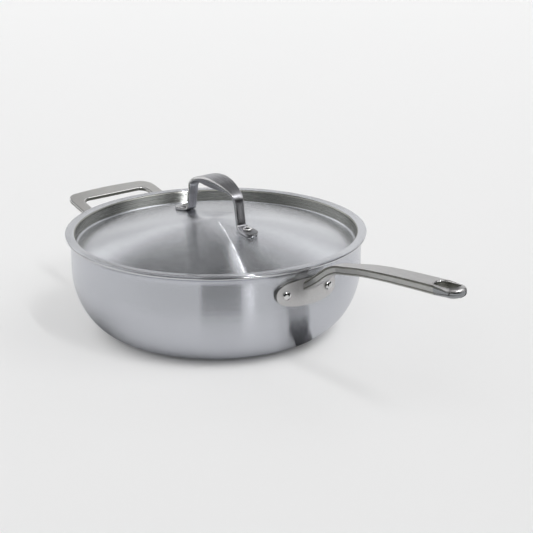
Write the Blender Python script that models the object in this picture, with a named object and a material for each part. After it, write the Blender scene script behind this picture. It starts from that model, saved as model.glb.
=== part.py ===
"""Saucier with a stainless steel lid, in metres, +Z up.

The origin is the centre of the pan's base, on the surface that it stands on.
The long handle points along +X and the helper handle along -X.
"""
import math

import bmesh
import bpy
from mathutils import Matrix, Vector

# Pan: a clad bowl with a flat base, an elliptical corner and a flared lip
PAN_RADIUS = 0.1454
PAN_BASE_RADIUS = 0.0897
PAN_CORNER_HEIGHT = 0.0679
PAN_WALL = 0.0027
LIP_FLARE = 0.0050
LIP_FLARE_HEIGHT = 0.0100
LIP_EDGE = 0.0030

# Lid: pressed sheet with a flange, a plug wall, a gutter and a dome
LID_SHEET = 0.0010
LID_SEAT_GAP = 0.0003
LID_PLUG_CLEARANCE = 0.0008
LID_FLANGE_OVERHANG = 0.0005
LID_PLUG_DEPTH = 0.0135
LID_TOP_BEND = 0.0020
LID_GUTTER_BEND = 0.0030
LID_DOME_EDGE_ANGLE = math.radians(20.0)

# Long handle: an oval plate riveted to the wall, and the arm that grows from it
PLATE_GAP = 0.0003
PLATE_THICK = 0.0035
PLATE_EDGE_ROUND = 0.0010
LONG_PLATE_HALF_WIDTH = 0.0360
LONG_PLATE_HEIGHT = 0.0265
LONG_PLATE_BELOW_FLARE = 0.00075
LONG_RIVET_SPACING = 0.0506
ARM_ROOT_ABOVE_RIVETS = 0.0060
ARM_RISE = 0.0488
ARM_REACH = 0.2112
ARM_ROOT_WIDTH = 0.0215
ARM_NECK_WIDTH = 0.0200
ARM_GRIP_WIDTH = 0.0210
ARM_ROOT_THICK = 0.0082
ARM_NECK_THICK = 0.0068
ARM_GRIP_THICK = 0.0095
ARM_SIDE_GROOVE = 0.0012
HANG_HOLE_LENGTH = 0.0265
HANG_HOLE_WIDTH = 0.0105
HANG_HOLE_END_MARGIN = 0.0075

# Helper handle: a wider plate and a flat loop that rises away from the wall
HELPER_PLATE_HALF_WIDTH = 0.0630
HELPER_PLATE_HEIGHT = 0.0280
HELPER_PLATE_CENTRE_HEIGHT = 0.0780
HELPER_RIVET_SPACING = 0.0640
HELPER_REACH = 0.0572
HELPER_LOOP_HALF_WIDTH = 0.0510
HELPER_LEG_WIDTH = 0.0125
HELPER_BAR_WIDTH = 0.0138
HELPER_BAR_BOW = 0.0020
HELPER_LOOP_THICK = 0.0040
HELPER_LEG_SPLAY = 0.02
HELPER_OUTER_CORNER = 0.0125
HELPER_INNER_CORNER = 0.0070
HELPER_ROOT_ABOVE_RIVETS = 0.0109
HELPER_LEG_SLOPE = 0.25
HELPER_BAR_SLOPE = 0.22

# Lid handle: a strap bent into an arch, wide in the middle, with a foot at each end
STRAP_THICK = 0.0032
STRAP_EDGE_ROUND = 0.0006
STRAP_ARCH_RISE = 0.0430
STRAP_ARCH_SAG = 0.0120
STRAP_SHOULDER_HALF_SPAN = 0.0375
STRAP_ANKLE_HALF_SPAN = 0.0422
STRAP_BEND = 0.0050
STRAP_FOOT_LENGTH = 0.0228
STRAP_MIDDLE_WIDTH = 0.0200
STRAP_LEG_WIDTH = 0.0102
STRAP_FOOT_WIDTH = 0.0150
LID_RIVET_SETBACK = 0.0130

# Rivets: one size for the pan's handles and one for the lid's
RIVET_SHANK_RADIUS = 0.0024
RIVET_HEAD_RADIUS = 0.0044
RIVET_HEAD_HEIGHT = 0.0024
RIVET_TAIL_RADIUS = 0.0052
RIVET_TAIL_HEIGHT = 0.0015
RIVET_HOLE_CLEARANCE = 0.0003
RIVET_SEAT_GAP = 0.0004
LID_RIVET_SHANK_RADIUS = 0.0016
LID_RIVET_HEAD_RADIUS = 0.0048
LID_RIVET_HEAD_HEIGHT = 0.0026
LID_RIVET_TAIL_RADIUS = 0.0042
LID_RIVET_TAIL_HEIGHT = 0.0012

# Facets
TURN_STEPS = 60
RIVET_STEPS = 16
CUTTER_STEPS = 24
SMOOTH_ANGLE = math.radians(32.0)

# Sizes that follow from the ones above; the flare starts just beside the helper plate's top edge
PLATE_BESIDE_FLARE = 0.0010
FLARE_START_HEIGHT = HELPER_PLATE_CENTRE_HEIGHT + HELPER_PLATE_HEIGHT / 2 - PLATE_BESIDE_FLARE
PAN_HEIGHT = FLARE_START_HEIGHT + LIP_FLARE_HEIGHT
LONG_PLATE_CENTRE_HEIGHT = FLARE_START_HEIGHT - LONG_PLATE_BELOW_FLARE - LONG_PLATE_HEIGHT / 2
ARM_ROOT_HEIGHT = LONG_PLATE_CENTRE_HEIGHT + ARM_ROOT_ABOVE_RIVETS
PAN_INNER_RADIUS = PAN_RADIUS - PAN_WALL
PLATE_BACK_RADIUS = PAN_RADIUS + PLATE_GAP
PLATE_FRONT_RADIUS = PLATE_BACK_RADIUS + PLATE_THICK
LIP_RADIUS = PAN_RADIUS + LIP_FLARE
LID_FLANGE_RADIUS = LIP_RADIUS + LID_FLANGE_OVERHANG
LID_SEAT_HEIGHT = PAN_HEIGHT + LID_SEAT_GAP
HELPER_BAR_INNER_X = -(PAN_RADIUS + HELPER_REACH) + HELPER_BAR_WIDTH
HELPER_ROOT_HEIGHT = HELPER_PLATE_CENTRE_HEIGHT + HELPER_ROOT_ABOVE_RIVETS


def arc(centre, radii, start, end, steps):
    """Points on an ellipse from one angle to another, in degrees, both ends included."""
    points = []
    for step in range(steps + 1):
        angle = math.radians(start + (end - start) * step / steps)
        points.append((centre[0] + radii[0] * math.cos(angle),
                       centre[1] + radii[1] * math.sin(angle)))
    return points


def smooth_curve(points, steps):
    """A Catmull-Rom curve through points of any dimension, steps samples a span."""
    curve = []
    last = len(points) - 1
    for index in range(last):
        before = points[max(index - 1, 0)]
        start = points[index]
        end = points[index + 1]
        after = points[min(index + 2, last)]
        for step in range(steps):
            t = step / steps
            curve.append(tuple(
                0.5 * (2 * b + (c - a) * t + (2 * a - 5 * b + 4 * c - d) * t ** 2
                       + (3 * b - a - 3 * c + d) * t ** 3)
                for a, b, c, d in zip(before, start, end, after)))
    curve.append(tuple(points[last]))
    return curve


def new_object(name, mesh, material):
    """Links a mesh as a named object, smooth but for its sharp edges."""
    item = bpy.data.objects.new(name, mesh)
    bpy.context.collection.objects.link(item)
    item.data.materials.append(material)
    item.data.shade_smooth()
    item.data.set_sharp_from_angle(angle=SMOOTH_ANGLE)
    return item


def as_tool(item):
    """Marks an object as a shape that only cuts or joins others."""
    item.hide_render = True
    item.display_type = 'WIRE'
    return item


def combine(target, tool, operation):
    """Adds an exact Boolean that uses the tool shape."""
    modifier = target.modifiers.new(operation.title(), 'BOOLEAN')
    modifier.operation = operation
    modifier.solver = 'EXACT'
    modifier.object = as_tool(tool)


def finished_mesh(name, shape):
    """Turns a bmesh into a mesh whose faces point out."""
    bmesh.ops.recalc_face_normals(shape, faces=shape.faces)
    mesh = bpy.data.meshes.new(name)
    shape.to_mesh(mesh)
    shape.free()
    return mesh


def turned_mesh(name, profile, steps):
    """Turns an (r, z) outline about Z; points at r = 0 become single poles."""
    shape = bmesh.new()
    rings = []
    for radius, height in profile:
        if radius < 1e-9:
            rings.append([shape.verts.new((0.0, 0.0, height))])
            continue
        ring = []
        for step in range(steps):
            angle = 2 * math.pi * step / steps
            ring.append(shape.verts.new((radius * math.cos(angle),
                                         radius * math.sin(angle), height)))
        rings.append(ring)
    for index, ring in enumerate(rings):
        following = rings[(index + 1) % len(rings)]
        if len(ring) == 1 and len(following) == 1:
            continue
        for step in range(steps):
            turn = (step + 1) % steps
            if len(ring) == 1:
                shape.faces.new((ring[0], following[step], following[turn]))
            elif len(following) == 1:
                shape.faces.new((ring[step], following[0], ring[turn]))
            else:
                shape.faces.new((ring[step], following[step], following[turn], ring[turn]))
    return finished_mesh(name, shape)


def skinned_mesh(name, rings):
    """Skins a row of equal rings of points and closes both ends."""
    shape = bmesh.new()
    loops = [[shape.verts.new(point) for point in ring] for ring in rings]
    count = len(loops[0])
    for loop, following in zip(loops, loops[1:]):
        for index in range(count):
            turn = (index + 1) % count
            shape.faces.new((loop[index], loop[turn], following[turn], following[index]))
    shape.faces.new(loops[0])
    shape.faces.new(loops[-1])
    return finished_mesh(name, shape)


def steel(name, colour, roughness):
    """A plain steel material for one sub-part."""
    material = bpy.data.materials.new(name)
    material.use_nodes = True
    shader = material.node_tree.nodes['Principled BSDF']
    shader.inputs['Base Color'].default_value = (*colour, 1.0)
    shader.inputs['Metallic'].default_value = 1.0
    shader.inputs['Roughness'].default_value = roughness
    return material


def plate_mesh(name, half_width, height, centre_height):
    """An oval plate wrapped round the wall, its front edges chamfered."""
    columns = 22
    fullness = 2.5
    rings = []
    for column in range(columns + 1):
        share = -math.cos(math.pi * column / columns) * 0.998
        half_height = height / 2 * (1 - abs(share) ** fullness) ** (1 / fullness)
        edge = min(PLATE_EDGE_ROUND, half_height / 2)
        angle = share * half_width / PLATE_FRONT_RADIUS
        outline = ((PLATE_BACK_RADIUS, -half_height),
                   (PLATE_FRONT_RADIUS - edge, -half_height),
                   (PLATE_FRONT_RADIUS, edge - half_height),
                   (PLATE_FRONT_RADIUS, half_height - edge),
                   (PLATE_FRONT_RADIUS - edge, half_height),
                   (PLATE_BACK_RADIUS, half_height))
        rings.append([(radius * math.cos(angle), radius * math.sin(angle), centre_height + z)
                      for radius, z in outline])
    return skinned_mesh(name, rings)


def rivet_profile(shank, head, head_height, tail, tail_height, grip):
    """Half outline of a set rivet; z = 0 is under the tail side's sheet."""
    seat = grip + RIVET_SEAT_GAP
    foot = -RIVET_SEAT_GAP
    return [(0.0, foot - tail_height),
            (tail * 0.7, foot - tail_height),
            (tail, foot - tail_height * 0.45),
            (tail, foot),
            (shank, foot),
            (shank, seat),
            (head, seat),
            (head * 0.97, seat + head_height * 0.35),
            (head * 0.72, seat + head_height * 0.75),
            (head * 0.36, seat + head_height * 0.96),
            (0.0, seat + head_height)]


def wall_turn(arc_length):
    """The angle about Z of a place on a plate, from its distance round the plate's face."""
    return arc_length / PLATE_FRONT_RADIUS


def radial_placing(angle, radius, height):
    """A matrix whose Z points out of the wall at an angle round the pan."""
    return (Matrix.Rotation(angle, 4, 'Z')
            @ Matrix.Translation((radius, 0.0, height))
            @ Matrix.Rotation(math.pi / 2, 4, 'Y'))


def hole_cutter(name, radius, length, placing):
    """A round cutter, centred on its place, along the place's Z."""
    profile = [(0.0, length / 2), (radius, length / 2), (radius, -length / 2), (0.0, -length / 2)]
    cutter = bpy.data.objects.new(name, turned_mesh(name, profile, CUTTER_STEPS))
    bpy.context.collection.objects.link(cutter)
    cutter.matrix_world = placing
    return cutter


def build_pan():
    """The clad pan body: outer side, lip and inner side as one turned outline."""
    corner = (PAN_BASE_RADIUS, PAN_CORNER_HEIGHT)
    outer_corner = arc(corner, (PAN_RADIUS - PAN_BASE_RADIUS, PAN_CORNER_HEIGHT), -90, 0, 8)
    inner_corner = arc(corner, (PAN_INNER_RADIUS - PAN_BASE_RADIUS, PAN_CORNER_HEIGHT - PAN_WALL),
                       0, -90, 8)
    edge_bottom = PAN_HEIGHT - LIP_EDGE
    outer_flare = arc((LIP_RADIUS, FLARE_START_HEIGHT),
                      (LIP_FLARE, edge_bottom - FLARE_START_HEIGHT), 180, 105, 3)
    edge_round = LIP_EDGE / 2
    lip = arc((LIP_RADIUS - edge_round, PAN_HEIGHT - edge_round), (edge_round, edge_round), -50, 90, 4)
    inner_flare = arc((PAN_INNER_RADIUS + LIP_FLARE, FLARE_START_HEIGHT),
                      (LIP_FLARE, LIP_FLARE_HEIGHT), 105, 180, 3)
    profile = ([(0.0, 0.0)] + outer_corner + outer_flare + lip + inner_flare
               + inner_corner + [(0.0, PAN_WALL)])
    mesh = turned_mesh('pan_body', profile, TURN_STEPS)
    return new_object('pan_body', mesh, steel('pan_body', (0.60, 0.61, 0.64), 0.32))


def lid_middle_line():
    """The lid's sheet as (r, z) points midway through it, apex first."""
    wall_radius = PAN_INNER_RADIUS - LID_PLUG_CLEARANCE - LID_SHEET / 2
    flange_height = LID_SEAT_HEIGHT + LID_SHEET / 2
    gutter_bottom = flange_height - LID_PLUG_DEPTH
    bend = LID_GUTTER_BEND
    gutter = (wall_radius - bend, gutter_bottom + bend)
    diagonal = bend * math.sqrt(2)
    crest = (gutter[0] - diagonal, gutter[1] - diagonal)
    crest_arc = arc(crest, (bend, bend), 90 - math.degrees(LID_DOME_EDGE_ANGLE), 45, 2)
    edge_radius, edge_height = crest_arc[0]
    dome_radius = edge_radius / math.sin(LID_DOME_EDGE_ANGLE)
    dome_centre = edge_height - dome_radius * math.cos(LID_DOME_EDGE_ANGLE)
    dome = arc((0.0, dome_centre), (dome_radius, dome_radius),
               90, 90 - math.degrees(LID_DOME_EDGE_ANGLE), 7)
    dome[0] = (0.0, dome_centre + dome_radius)
    gutter_arc = arc(gutter, (bend, bend), -135, 0, 4)
    top_bend = arc((wall_radius + LID_TOP_BEND, flange_height - LID_TOP_BEND),
                   (LID_TOP_BEND, LID_TOP_BEND), 180, 90, 2)
    line = dome + crest_arc[1:] + gutter_arc[1:] + top_bend + [(LID_FLANGE_RADIUS, flange_height)]
    return line, dome_centre, dome_radius


def build_lid():
    """The lid's sheet: its middle line thickened to both sides and turned."""
    line, _, _ = lid_middle_line()
    upper = []
    lower = []
    for index, (radius, height) in enumerate(line):
        before = line[max(index - 1, 0)]
        after = line[min(index + 1, len(line) - 1)]
        along = Vector((after[0] - before[0], after[1] - before[1])).normalized()
        if index == 0:
            along = Vector((1.0, 0.0))
        normal = Vector((-along.y, along.x)) * LID_SHEET / 2
        upper.append((radius + normal.x, height + normal.y))
        lower.append((radius - normal.x, height - normal.y))
    mesh = turned_mesh('lid', upper + lower[::-1], TURN_STEPS)
    return new_object('lid', mesh, steel('lid', (0.62, 0.62, 0.64), 0.22))


def arm_section(width, thick):
    """The arm's outline across its length: flat top, grooved sides, narrow bottom."""
    half = width / 2
    groove = min(ARM_SIDE_GROOVE, half / 4)
    right = [(half - 0.04 * width, 0.50 * thick),
             (half, 0.42 * thick),
             (half - groove, 0.24 * thick),
             (half - 0.2 * groove, 0.02 * thick),
             (half - 0.02 * width, -0.34 * thick),
             (half - 0.09 * width, -0.50 * thick)]
    left = [(-side, up) for side, up in right[::-1]]
    return right + left


def arm_stations():
    """The arm's centre line with its width and thickness, from the plate to the grip's end.

    Each station is (x, z, width, thickness)."""
    nose = ARM_GRIP_WIDTH / 2
    # Share of the reach, share of the rise, share of the way from neck to grip
    shares = ((0.04, 0.070, 0.0),
              (0.08, 0.170, 0.0),
              (0.12, 0.310, 0.0),
              (0.16, 0.450, 0.0),
              (0.21, 0.550, 0.0),
              (0.28, 0.640, 0.1),
              (0.40, 0.745, 0.3),
              (0.54, 0.825, 0.6),
              (0.72, 0.895, 1.0),
              (1.00, 1.000, 1.0))
    start = PLATE_FRONT_RADIUS
    stations = [(PLATE_FRONT_RADIUS - PLATE_THICK * 0.6, ARM_ROOT_HEIGHT - ARM_RISE * 0.03,
                 ARM_ROOT_WIDTH, ARM_ROOT_THICK),
                (start, ARM_ROOT_HEIGHT, ARM_ROOT_WIDTH, ARM_ROOT_THICK)]
    for along, up, blend in shares:
        root_share = max(0.0, 1 - along / 0.20)
        width = ARM_NECK_WIDTH + (ARM_GRIP_WIDTH - ARM_NECK_WIDTH) * blend
        thick = ARM_NECK_THICK + (ARM_GRIP_THICK - ARM_NECK_THICK) * min(1.0, blend * 1.3)
        stations.append((start + ARM_REACH * along,
                         ARM_ROOT_HEIGHT + ARM_RISE * up,
                         width + (ARM_ROOT_WIDTH - ARM_NECK_WIDTH) * root_share ** 4,
                         thick + (ARM_ROOT_THICK - ARM_NECK_THICK) * root_share))
    line = smooth_curve(stations, 3)
    nose_start = start + ARM_REACH - nose
    return [station for station in line if station[0] < nose_start - 0.002], line[-1], nose


def build_long_handle():
    """The oval plate, the arm and the hanging hole, as one cast piece."""
    body, tip, nose = arm_stations()
    previous = body[-1]
    slope = (tip[1] - previous[1]) / (tip[0] - previous[0])
    nose_start = tip[0] - nose
    for step in range(7):
        angle = math.radians(83.0 * step / 6)
        x = nose_start + nose * math.sin(angle)
        thick = tip[3] * math.cos(angle) ** 0.5
        body.append((x, previous[1] + slope * (x - previous[0]) + (tip[3] - thick) * 0.2,
                     tip[2] * math.cos(angle), thick))
    rings = []
    for index, (x, z, width, thick) in enumerate(body):
        before = body[max(index - 1, 0)]
        after = body[min(index + 1, len(body) - 1)]
        along = Vector((after[0] - before[0], 0.0, after[1] - before[1])).normalized()
        upright = min(1.0, index / 5)
        along = Vector((1.0, 0.0, 0.0)).lerp(along, upright).normalized()
        up = Vector((-along.z, 0.0, along.x))
        rings.append([Vector((x, 0.0, z)) + Vector((0.0, side, 0.0)) + up * rise
                      for side, rise in arm_section(width, thick)])
    handle = new_object('long_handle', skinned_mesh('long_handle', rings),
                        steel('long_handle', (0.52, 0.51, 0.50), 0.30))
    plate = bpy.data.objects.new('long_plate_shape', plate_mesh(
        'long_plate_shape', LONG_PLATE_HALF_WIDTH, LONG_PLATE_HEIGHT, LONG_PLATE_CENTRE_HEIGHT))
    bpy.context.collection.objects.link(plate)
    combine(handle, plate, 'UNION')

    half_slot = (HANG_HOLE_LENGTH - HANG_HOLE_WIDTH) / 2
    hole_centre = tip[0] - HANG_HOLE_END_MARGIN - HANG_HOLE_LENGTH / 2
    slot = (arc((half_slot, 0.0), (HANG_HOLE_WIDTH / 2,) * 2, -90, 90, 8)
            + arc((-half_slot, 0.0), (HANG_HOLE_WIDTH / 2,) * 2, 90, 270, 8))
    depth = ARM_GRIP_THICK * 1.5
    tip_height = ARM_ROOT_HEIGHT + ARM_RISE
    slot_rings = [[(hole_centre + x, y, tip_height + z) for x, y in slot] for z in (-depth, depth)]
    cutter = bpy.data.objects.new('hang_hole_cutter', skinned_mesh('hang_hole_cutter', slot_rings))
    bpy.context.collection.objects.link(cutter)
    combine(handle, cutter, 'DIFFERENCE')
    return handle


def helper_height(x):
    """Height of the loop's top at a distance -x from the pan's centre."""
    along_leg = -PLATE_FRONT_RADIUS - max(x, HELPER_BAR_INNER_X)
    past_leg = max(0.0, HELPER_BAR_INNER_X - x)
    return HELPER_ROOT_HEIGHT + along_leg * HELPER_LEG_SLOPE + past_leg * HELPER_BAR_SLOPE


def helper_loop_edges():
    """Pairs of outer and inner edge points of the loop, seen from above, from +Y to -Y."""
    far = HELPER_BAR_INNER_X - HELPER_BAR_WIDTH
    bar_inner = HELPER_BAR_INNER_X
    side = HELPER_LOOP_HALF_WIDTH
    corner = HELPER_OUTER_CORNER
    shoulder = far + HELPER_BAR_BOW
    turn = shoulder + corner
    inner_side = side - HELPER_LEG_WIDTH
    inner_corner = HELPER_INNER_CORNER
    root_side = side + HELPER_LEG_SPLAY * HELPER_REACH
    outer_root = (-math.sqrt(PLATE_FRONT_RADIUS ** 2 - root_side ** 2) + PLATE_THICK * 0.5, root_side)
    inner_root_side = root_side - HELPER_LEG_WIDTH
    inner_root = (-math.sqrt(PLATE_FRONT_RADIUS ** 2 - inner_root_side ** 2) + PLATE_THICK * 0.5,
                  inner_root_side)
    outer = [outer_root]
    inner = [inner_root]
    for step in (1, 2):
        share = step / 3
        outer.append((outer_root[0] + (turn - outer_root[0]) * share,
                      outer_root[1] + (side - outer_root[1]) * share))
        inner.append((inner_root[0] + (bar_inner + inner_corner - inner_root[0]) * share,
                      inner_root[1] + (inner_side - inner_root[1]) * share))
    outer += arc((turn, side - corner), (corner, corner), 90, 180, 6)
    inner += arc((bar_inner + inner_corner, inner_side - inner_corner),
                 (inner_corner, inner_corner), 90, 180, 6)
    reach = side - corner
    inner_reach = inner_side - inner_corner
    for step in (1, 2, 3):
        share = 1 - step / 3
        outer.append((shoulder - HELPER_BAR_BOW * (1 - share ** 2), reach * share))
        inner.append((bar_inner, inner_reach * share))
    mirrored = [((ox, -oy), (ix, -iy)) for (ox, oy), (ix, iy) in list(zip(outer, inner))[-2::-1]]
    return list(zip(outer, inner)) + mirrored


def build_helper_handle():
    """The helper handle's plate and flat loop, as one cast piece."""
    edge = 0.22 * HELPER_LOOP_THICK
    rings = []
    for outer, inner in helper_loop_edges():
        across = Vector((outer[0] - inner[0], outer[1] - inner[1], 0.0)).normalized() * edge
        ring = []
        for corner, inset in ((outer, -1.0), (inner, 1.0)):
            top = helper_height(corner[0])
            place = Vector((corner[0], corner[1], 0.0))
            levels = (top, top - edge, top - HELPER_LOOP_THICK + edge, top - HELPER_LOOP_THICK)
            insets = (inset, 0.0, 0.0, inset)
            points = [place + across * move + Vector((0.0, 0.0, level))
                      for level, move in zip(levels, insets)]
            ring += points if inset < 0 else points[::-1]
        rings.append(ring)
    handle = new_object('helper_handle', skinned_mesh('helper_handle', rings),
                        steel('helper_handle', (0.52, 0.51, 0.50), 0.30))
    plate = bpy.data.objects.new('helper_plate_shape', plate_mesh(
        'helper_plate_shape', HELPER_PLATE_HALF_WIDTH, HELPER_PLATE_HEIGHT,
        HELPER_PLATE_CENTRE_HEIGHT))
    bpy.context.collection.objects.link(plate)
    plate.rotation_euler = (0.0, 0.0, math.pi)
    combine(handle, plate, 'UNION')
    return handle


def dome_height(radius, offset):
    """Height of the lid's upper face at a radius, plus an offset along its normal."""
    _, centre, dome_radius = lid_middle_line()
    reach = dome_radius + LID_SHEET / 2 + offset
    return centre + math.sqrt(reach ** 2 - radius ** 2)


def strap_half_path():
    """The lid handle's centre line from its middle to a foot's tip: (x, z, width)."""
    lift = PLATE_GAP + STRAP_THICK / 2
    top = dome_height(0.0, 0.0) + STRAP_ARCH_RISE - STRAP_THICK / 2
    shoulder = STRAP_SHOULDER_HALF_SPAN
    ankle = STRAP_ANKLE_HALF_SPAN
    bend = STRAP_BEND
    shoulder_height = top - STRAP_ARCH_SAG
    ankle_height = dome_height(ankle, lift)
    leg = Vector((ankle - shoulder, ankle_height - shoulder_height))
    leg.normalize()
    path = []
    for step in range(6):
        x = (shoulder - bend) * step / 5
        share = x / shoulder
        width = STRAP_LEG_WIDTH + (STRAP_MIDDLE_WIDTH - STRAP_LEG_WIDTH) * (1 - share ** 2)
        path.append((x, top - STRAP_ARCH_SAG * share ** 2, width))
    last_x, last_z, _ = path[-1]
    leg_top = (shoulder + leg.x * bend, shoulder_height + leg.y * bend)
    for step in (1, 2, 3, 4):
        t = step / 4
        path.append(((1 - t) ** 2 * last_x + 2 * t * (1 - t) * shoulder + t ** 2 * leg_top[0],
                     (1 - t) ** 2 * last_z + 2 * t * (1 - t) * shoulder_height + t ** 2 * leg_top[1],
                     STRAP_LEG_WIDTH + (STRAP_MIDDLE_WIDTH - STRAP_LEG_WIDTH) * 0.24 * (1 - t)))
    leg_end = (ankle - leg.x * bend, ankle_height - leg.y * bend)
    foot_start = (ankle + bend, dome_height(ankle + bend, lift))
    for step in range(5):
        t = step / 4
        path.append(((1 - t) ** 2 * leg_end[0] + 2 * t * (1 - t) * ankle + t ** 2 * foot_start[0],
                     (1 - t) ** 2 * leg_end[1] + 2 * t * (1 - t) * ankle_height + t ** 2 * foot_start[1],
                     STRAP_LEG_WIDTH + (STRAP_FOOT_WIDTH - STRAP_LEG_WIDTH) * t ** 2))
    tip = ankle + STRAP_FOOT_LENGTH
    round_radius = STRAP_FOOT_WIDTH / 2
    path.append((tip - round_radius, dome_height(tip - round_radius, lift), STRAP_FOOT_WIDTH))
    for angle in (20, 40, 60, 82):
        x = tip - round_radius + round_radius * math.sin(math.radians(angle))
        path.append((x, dome_height(x, lift), STRAP_FOOT_WIDTH * math.cos(math.radians(angle))))
    return path


def build_lid_handle():
    """The strap handle, skinned along its centre line."""
    half = strap_half_path()
    path = [(-x, z, width) for x, z, width in half[:0:-1]] + half
    rings = []
    for index, (x, z, width) in enumerate(path):
        before = path[max(index - 1, 0)]
        after = path[min(index + 1, len(path) - 1)]
        along = Vector((after[0] - before[0], 0.0, after[1] - before[1])).normalized()
        up = Vector((-along.z, 0.0, along.x)) * (STRAP_THICK / 2)
        side = width / 2
        edge = min(STRAP_EDGE_ROUND, side / 2)
        sink = 1 - 2 * edge / STRAP_THICK
        outline = ((side - edge, 1.0), (side, sink), (side, -sink), (side - edge, -1.0),
                   (edge - side, -1.0), (-side, -sink), (-side, sink), (edge - side, 1.0))
        rings.append([Vector((x, across, z)) + up * rise for across, rise in outline])
    return new_object('lid_handle', skinned_mesh('lid_handle', rings),
                      steel('lid_handle', (0.50, 0.50, 0.51), 0.25))


def build_wall_rivets(pan, handle, prefix, spacing, height, facing):
    """Two set rivets through a handle's plate and the pan's wall, with their holes."""
    grip = PLATE_FRONT_RADIUS - PAN_INNER_RADIUS
    profile = rivet_profile(RIVET_SHANK_RADIUS, RIVET_HEAD_RADIUS, RIVET_HEAD_HEIGHT,
                            RIVET_TAIL_RADIUS, RIVET_TAIL_HEIGHT, grip)
    for side, turn in (('left', 1.0), ('right', -1.0)):
        angle = facing + turn * wall_turn(spacing / 2)
        name = f'{prefix}_rivet_{side}'
        mesh = turned_mesh(name, profile, RIVET_STEPS)
        rivet = new_object(name, mesh, steel(name, (0.66, 0.66, 0.66), 0.12))
        rivet.matrix_world = radial_placing(angle, PAN_INNER_RADIUS, height)
        middle = radial_placing(angle, PAN_INNER_RADIUS + grip / 2, height)
        cutter = hole_cutter(f'{name}_cutter', RIVET_SHANK_RADIUS + RIVET_HOLE_CLEARANCE,
                             grip * 2, middle)
        combine(pan, cutter, 'DIFFERENCE')
        combine(handle, cutter, 'DIFFERENCE')


def build_lid_rivets(lid, handle, carrier):
    """A set rivet through each foot of the lid handle, square to the dome."""
    _, centre, _ = lid_middle_line()
    grip = LID_SHEET + PLATE_GAP + STRAP_THICK
    profile = rivet_profile(LID_RIVET_SHANK_RADIUS, LID_RIVET_HEAD_RADIUS, LID_RIVET_HEAD_HEIGHT,
                            LID_RIVET_TAIL_RADIUS, LID_RIVET_TAIL_HEIGHT, grip)
    place = STRAP_ANKLE_HALF_SPAN + STRAP_FOOT_LENGTH - LID_RIVET_SETBACK
    under = dome_height(place, -LID_SHEET)
    lean = math.atan2(place, under - centre)
    for name, turn in (('lid_rivet_front', 0.0), ('lid_rivet_back', math.pi)):
        placing = (Matrix.Rotation(turn, 4, 'Z') @ Matrix.Translation((place, 0.0, under))
                   @ Matrix.Rotation(lean, 4, 'Y'))
        mesh = turned_mesh(name, profile, RIVET_STEPS)
        rivet = new_object(name, mesh, steel(name, (0.66, 0.66, 0.66), 0.12))
        rivet.parent = carrier
        rivet.matrix_parent_inverse = carrier.matrix_world.inverted()
        rivet.matrix_world = placing
        cutter = hole_cutter(f'{name}_cutter', LID_RIVET_SHANK_RADIUS + RIVET_HOLE_CLEARANCE,
                             grip * 3, placing)
        combine(lid, cutter, 'DIFFERENCE')
        combine(handle, cutter, 'DIFFERENCE')


def main():
    """Builds the pan, its handles and the lid that lifts off."""
    for item in list(bpy.data.objects):
        bpy.data.objects.remove(item, do_unlink=True)

    pan = build_pan()
    long_handle = build_long_handle()
    helper_handle = build_helper_handle()
    build_wall_rivets(pan, long_handle, 'long_handle', LONG_RIVET_SPACING,
                      LONG_PLATE_CENTRE_HEIGHT, 0.0)
    build_wall_rivets(pan, helper_handle, 'helper_handle', HELPER_RIVET_SPACING,
                      HELPER_PLATE_CENTRE_HEIGHT, math.pi)

    lift_axis = bpy.data.objects.new('lid_lift_axis', None)
    bpy.context.collection.objects.link(lift_axis)
    lift_axis.location = (0.0, 0.0, LID_SEAT_HEIGHT)
    bpy.context.view_layer.update()
    lid = build_lid()
    lid_handle = build_lid_handle()
    build_lid_rivets(lid, lid_handle, lift_axis)
    for item in (lid, lid_handle):
        item.parent = lift_axis
        item.matrix_parent_inverse = lift_axis.matrix_world.inverted()


main()
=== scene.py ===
import math

import bpy
from mathutils import Matrix, Vector


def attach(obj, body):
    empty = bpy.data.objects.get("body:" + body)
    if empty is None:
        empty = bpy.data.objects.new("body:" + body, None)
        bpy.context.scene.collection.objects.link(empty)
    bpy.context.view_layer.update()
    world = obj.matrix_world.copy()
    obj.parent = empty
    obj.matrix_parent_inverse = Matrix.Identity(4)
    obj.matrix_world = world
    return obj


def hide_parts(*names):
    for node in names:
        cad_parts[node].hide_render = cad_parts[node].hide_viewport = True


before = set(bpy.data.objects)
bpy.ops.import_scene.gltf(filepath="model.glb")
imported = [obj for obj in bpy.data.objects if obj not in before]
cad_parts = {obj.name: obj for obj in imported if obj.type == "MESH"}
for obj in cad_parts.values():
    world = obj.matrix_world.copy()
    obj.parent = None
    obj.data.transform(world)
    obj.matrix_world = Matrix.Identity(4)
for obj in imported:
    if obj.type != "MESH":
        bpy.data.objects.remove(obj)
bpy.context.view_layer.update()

# The studio: a wide sheet of pale card lies under the pan, in a dark room with soft lights all
# round. The camera looks down at the pan from the handle's side, through a long lens.
PICTURE_SIDE = 533
HALF_PIXEL = 0.5 / PICTURE_SIDE
SENSOR_WIDTH = 36.0
LENS_LENGTH = 132.09
CAMERA_PLACE = (1.51639, -1.10172, 0.68522)
CAMERA_HEADING = math.radians(52.47)
CAMERA_TILT = math.radians(71.624)
CAMERA_ROLL = math.radians(-0.199)

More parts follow.
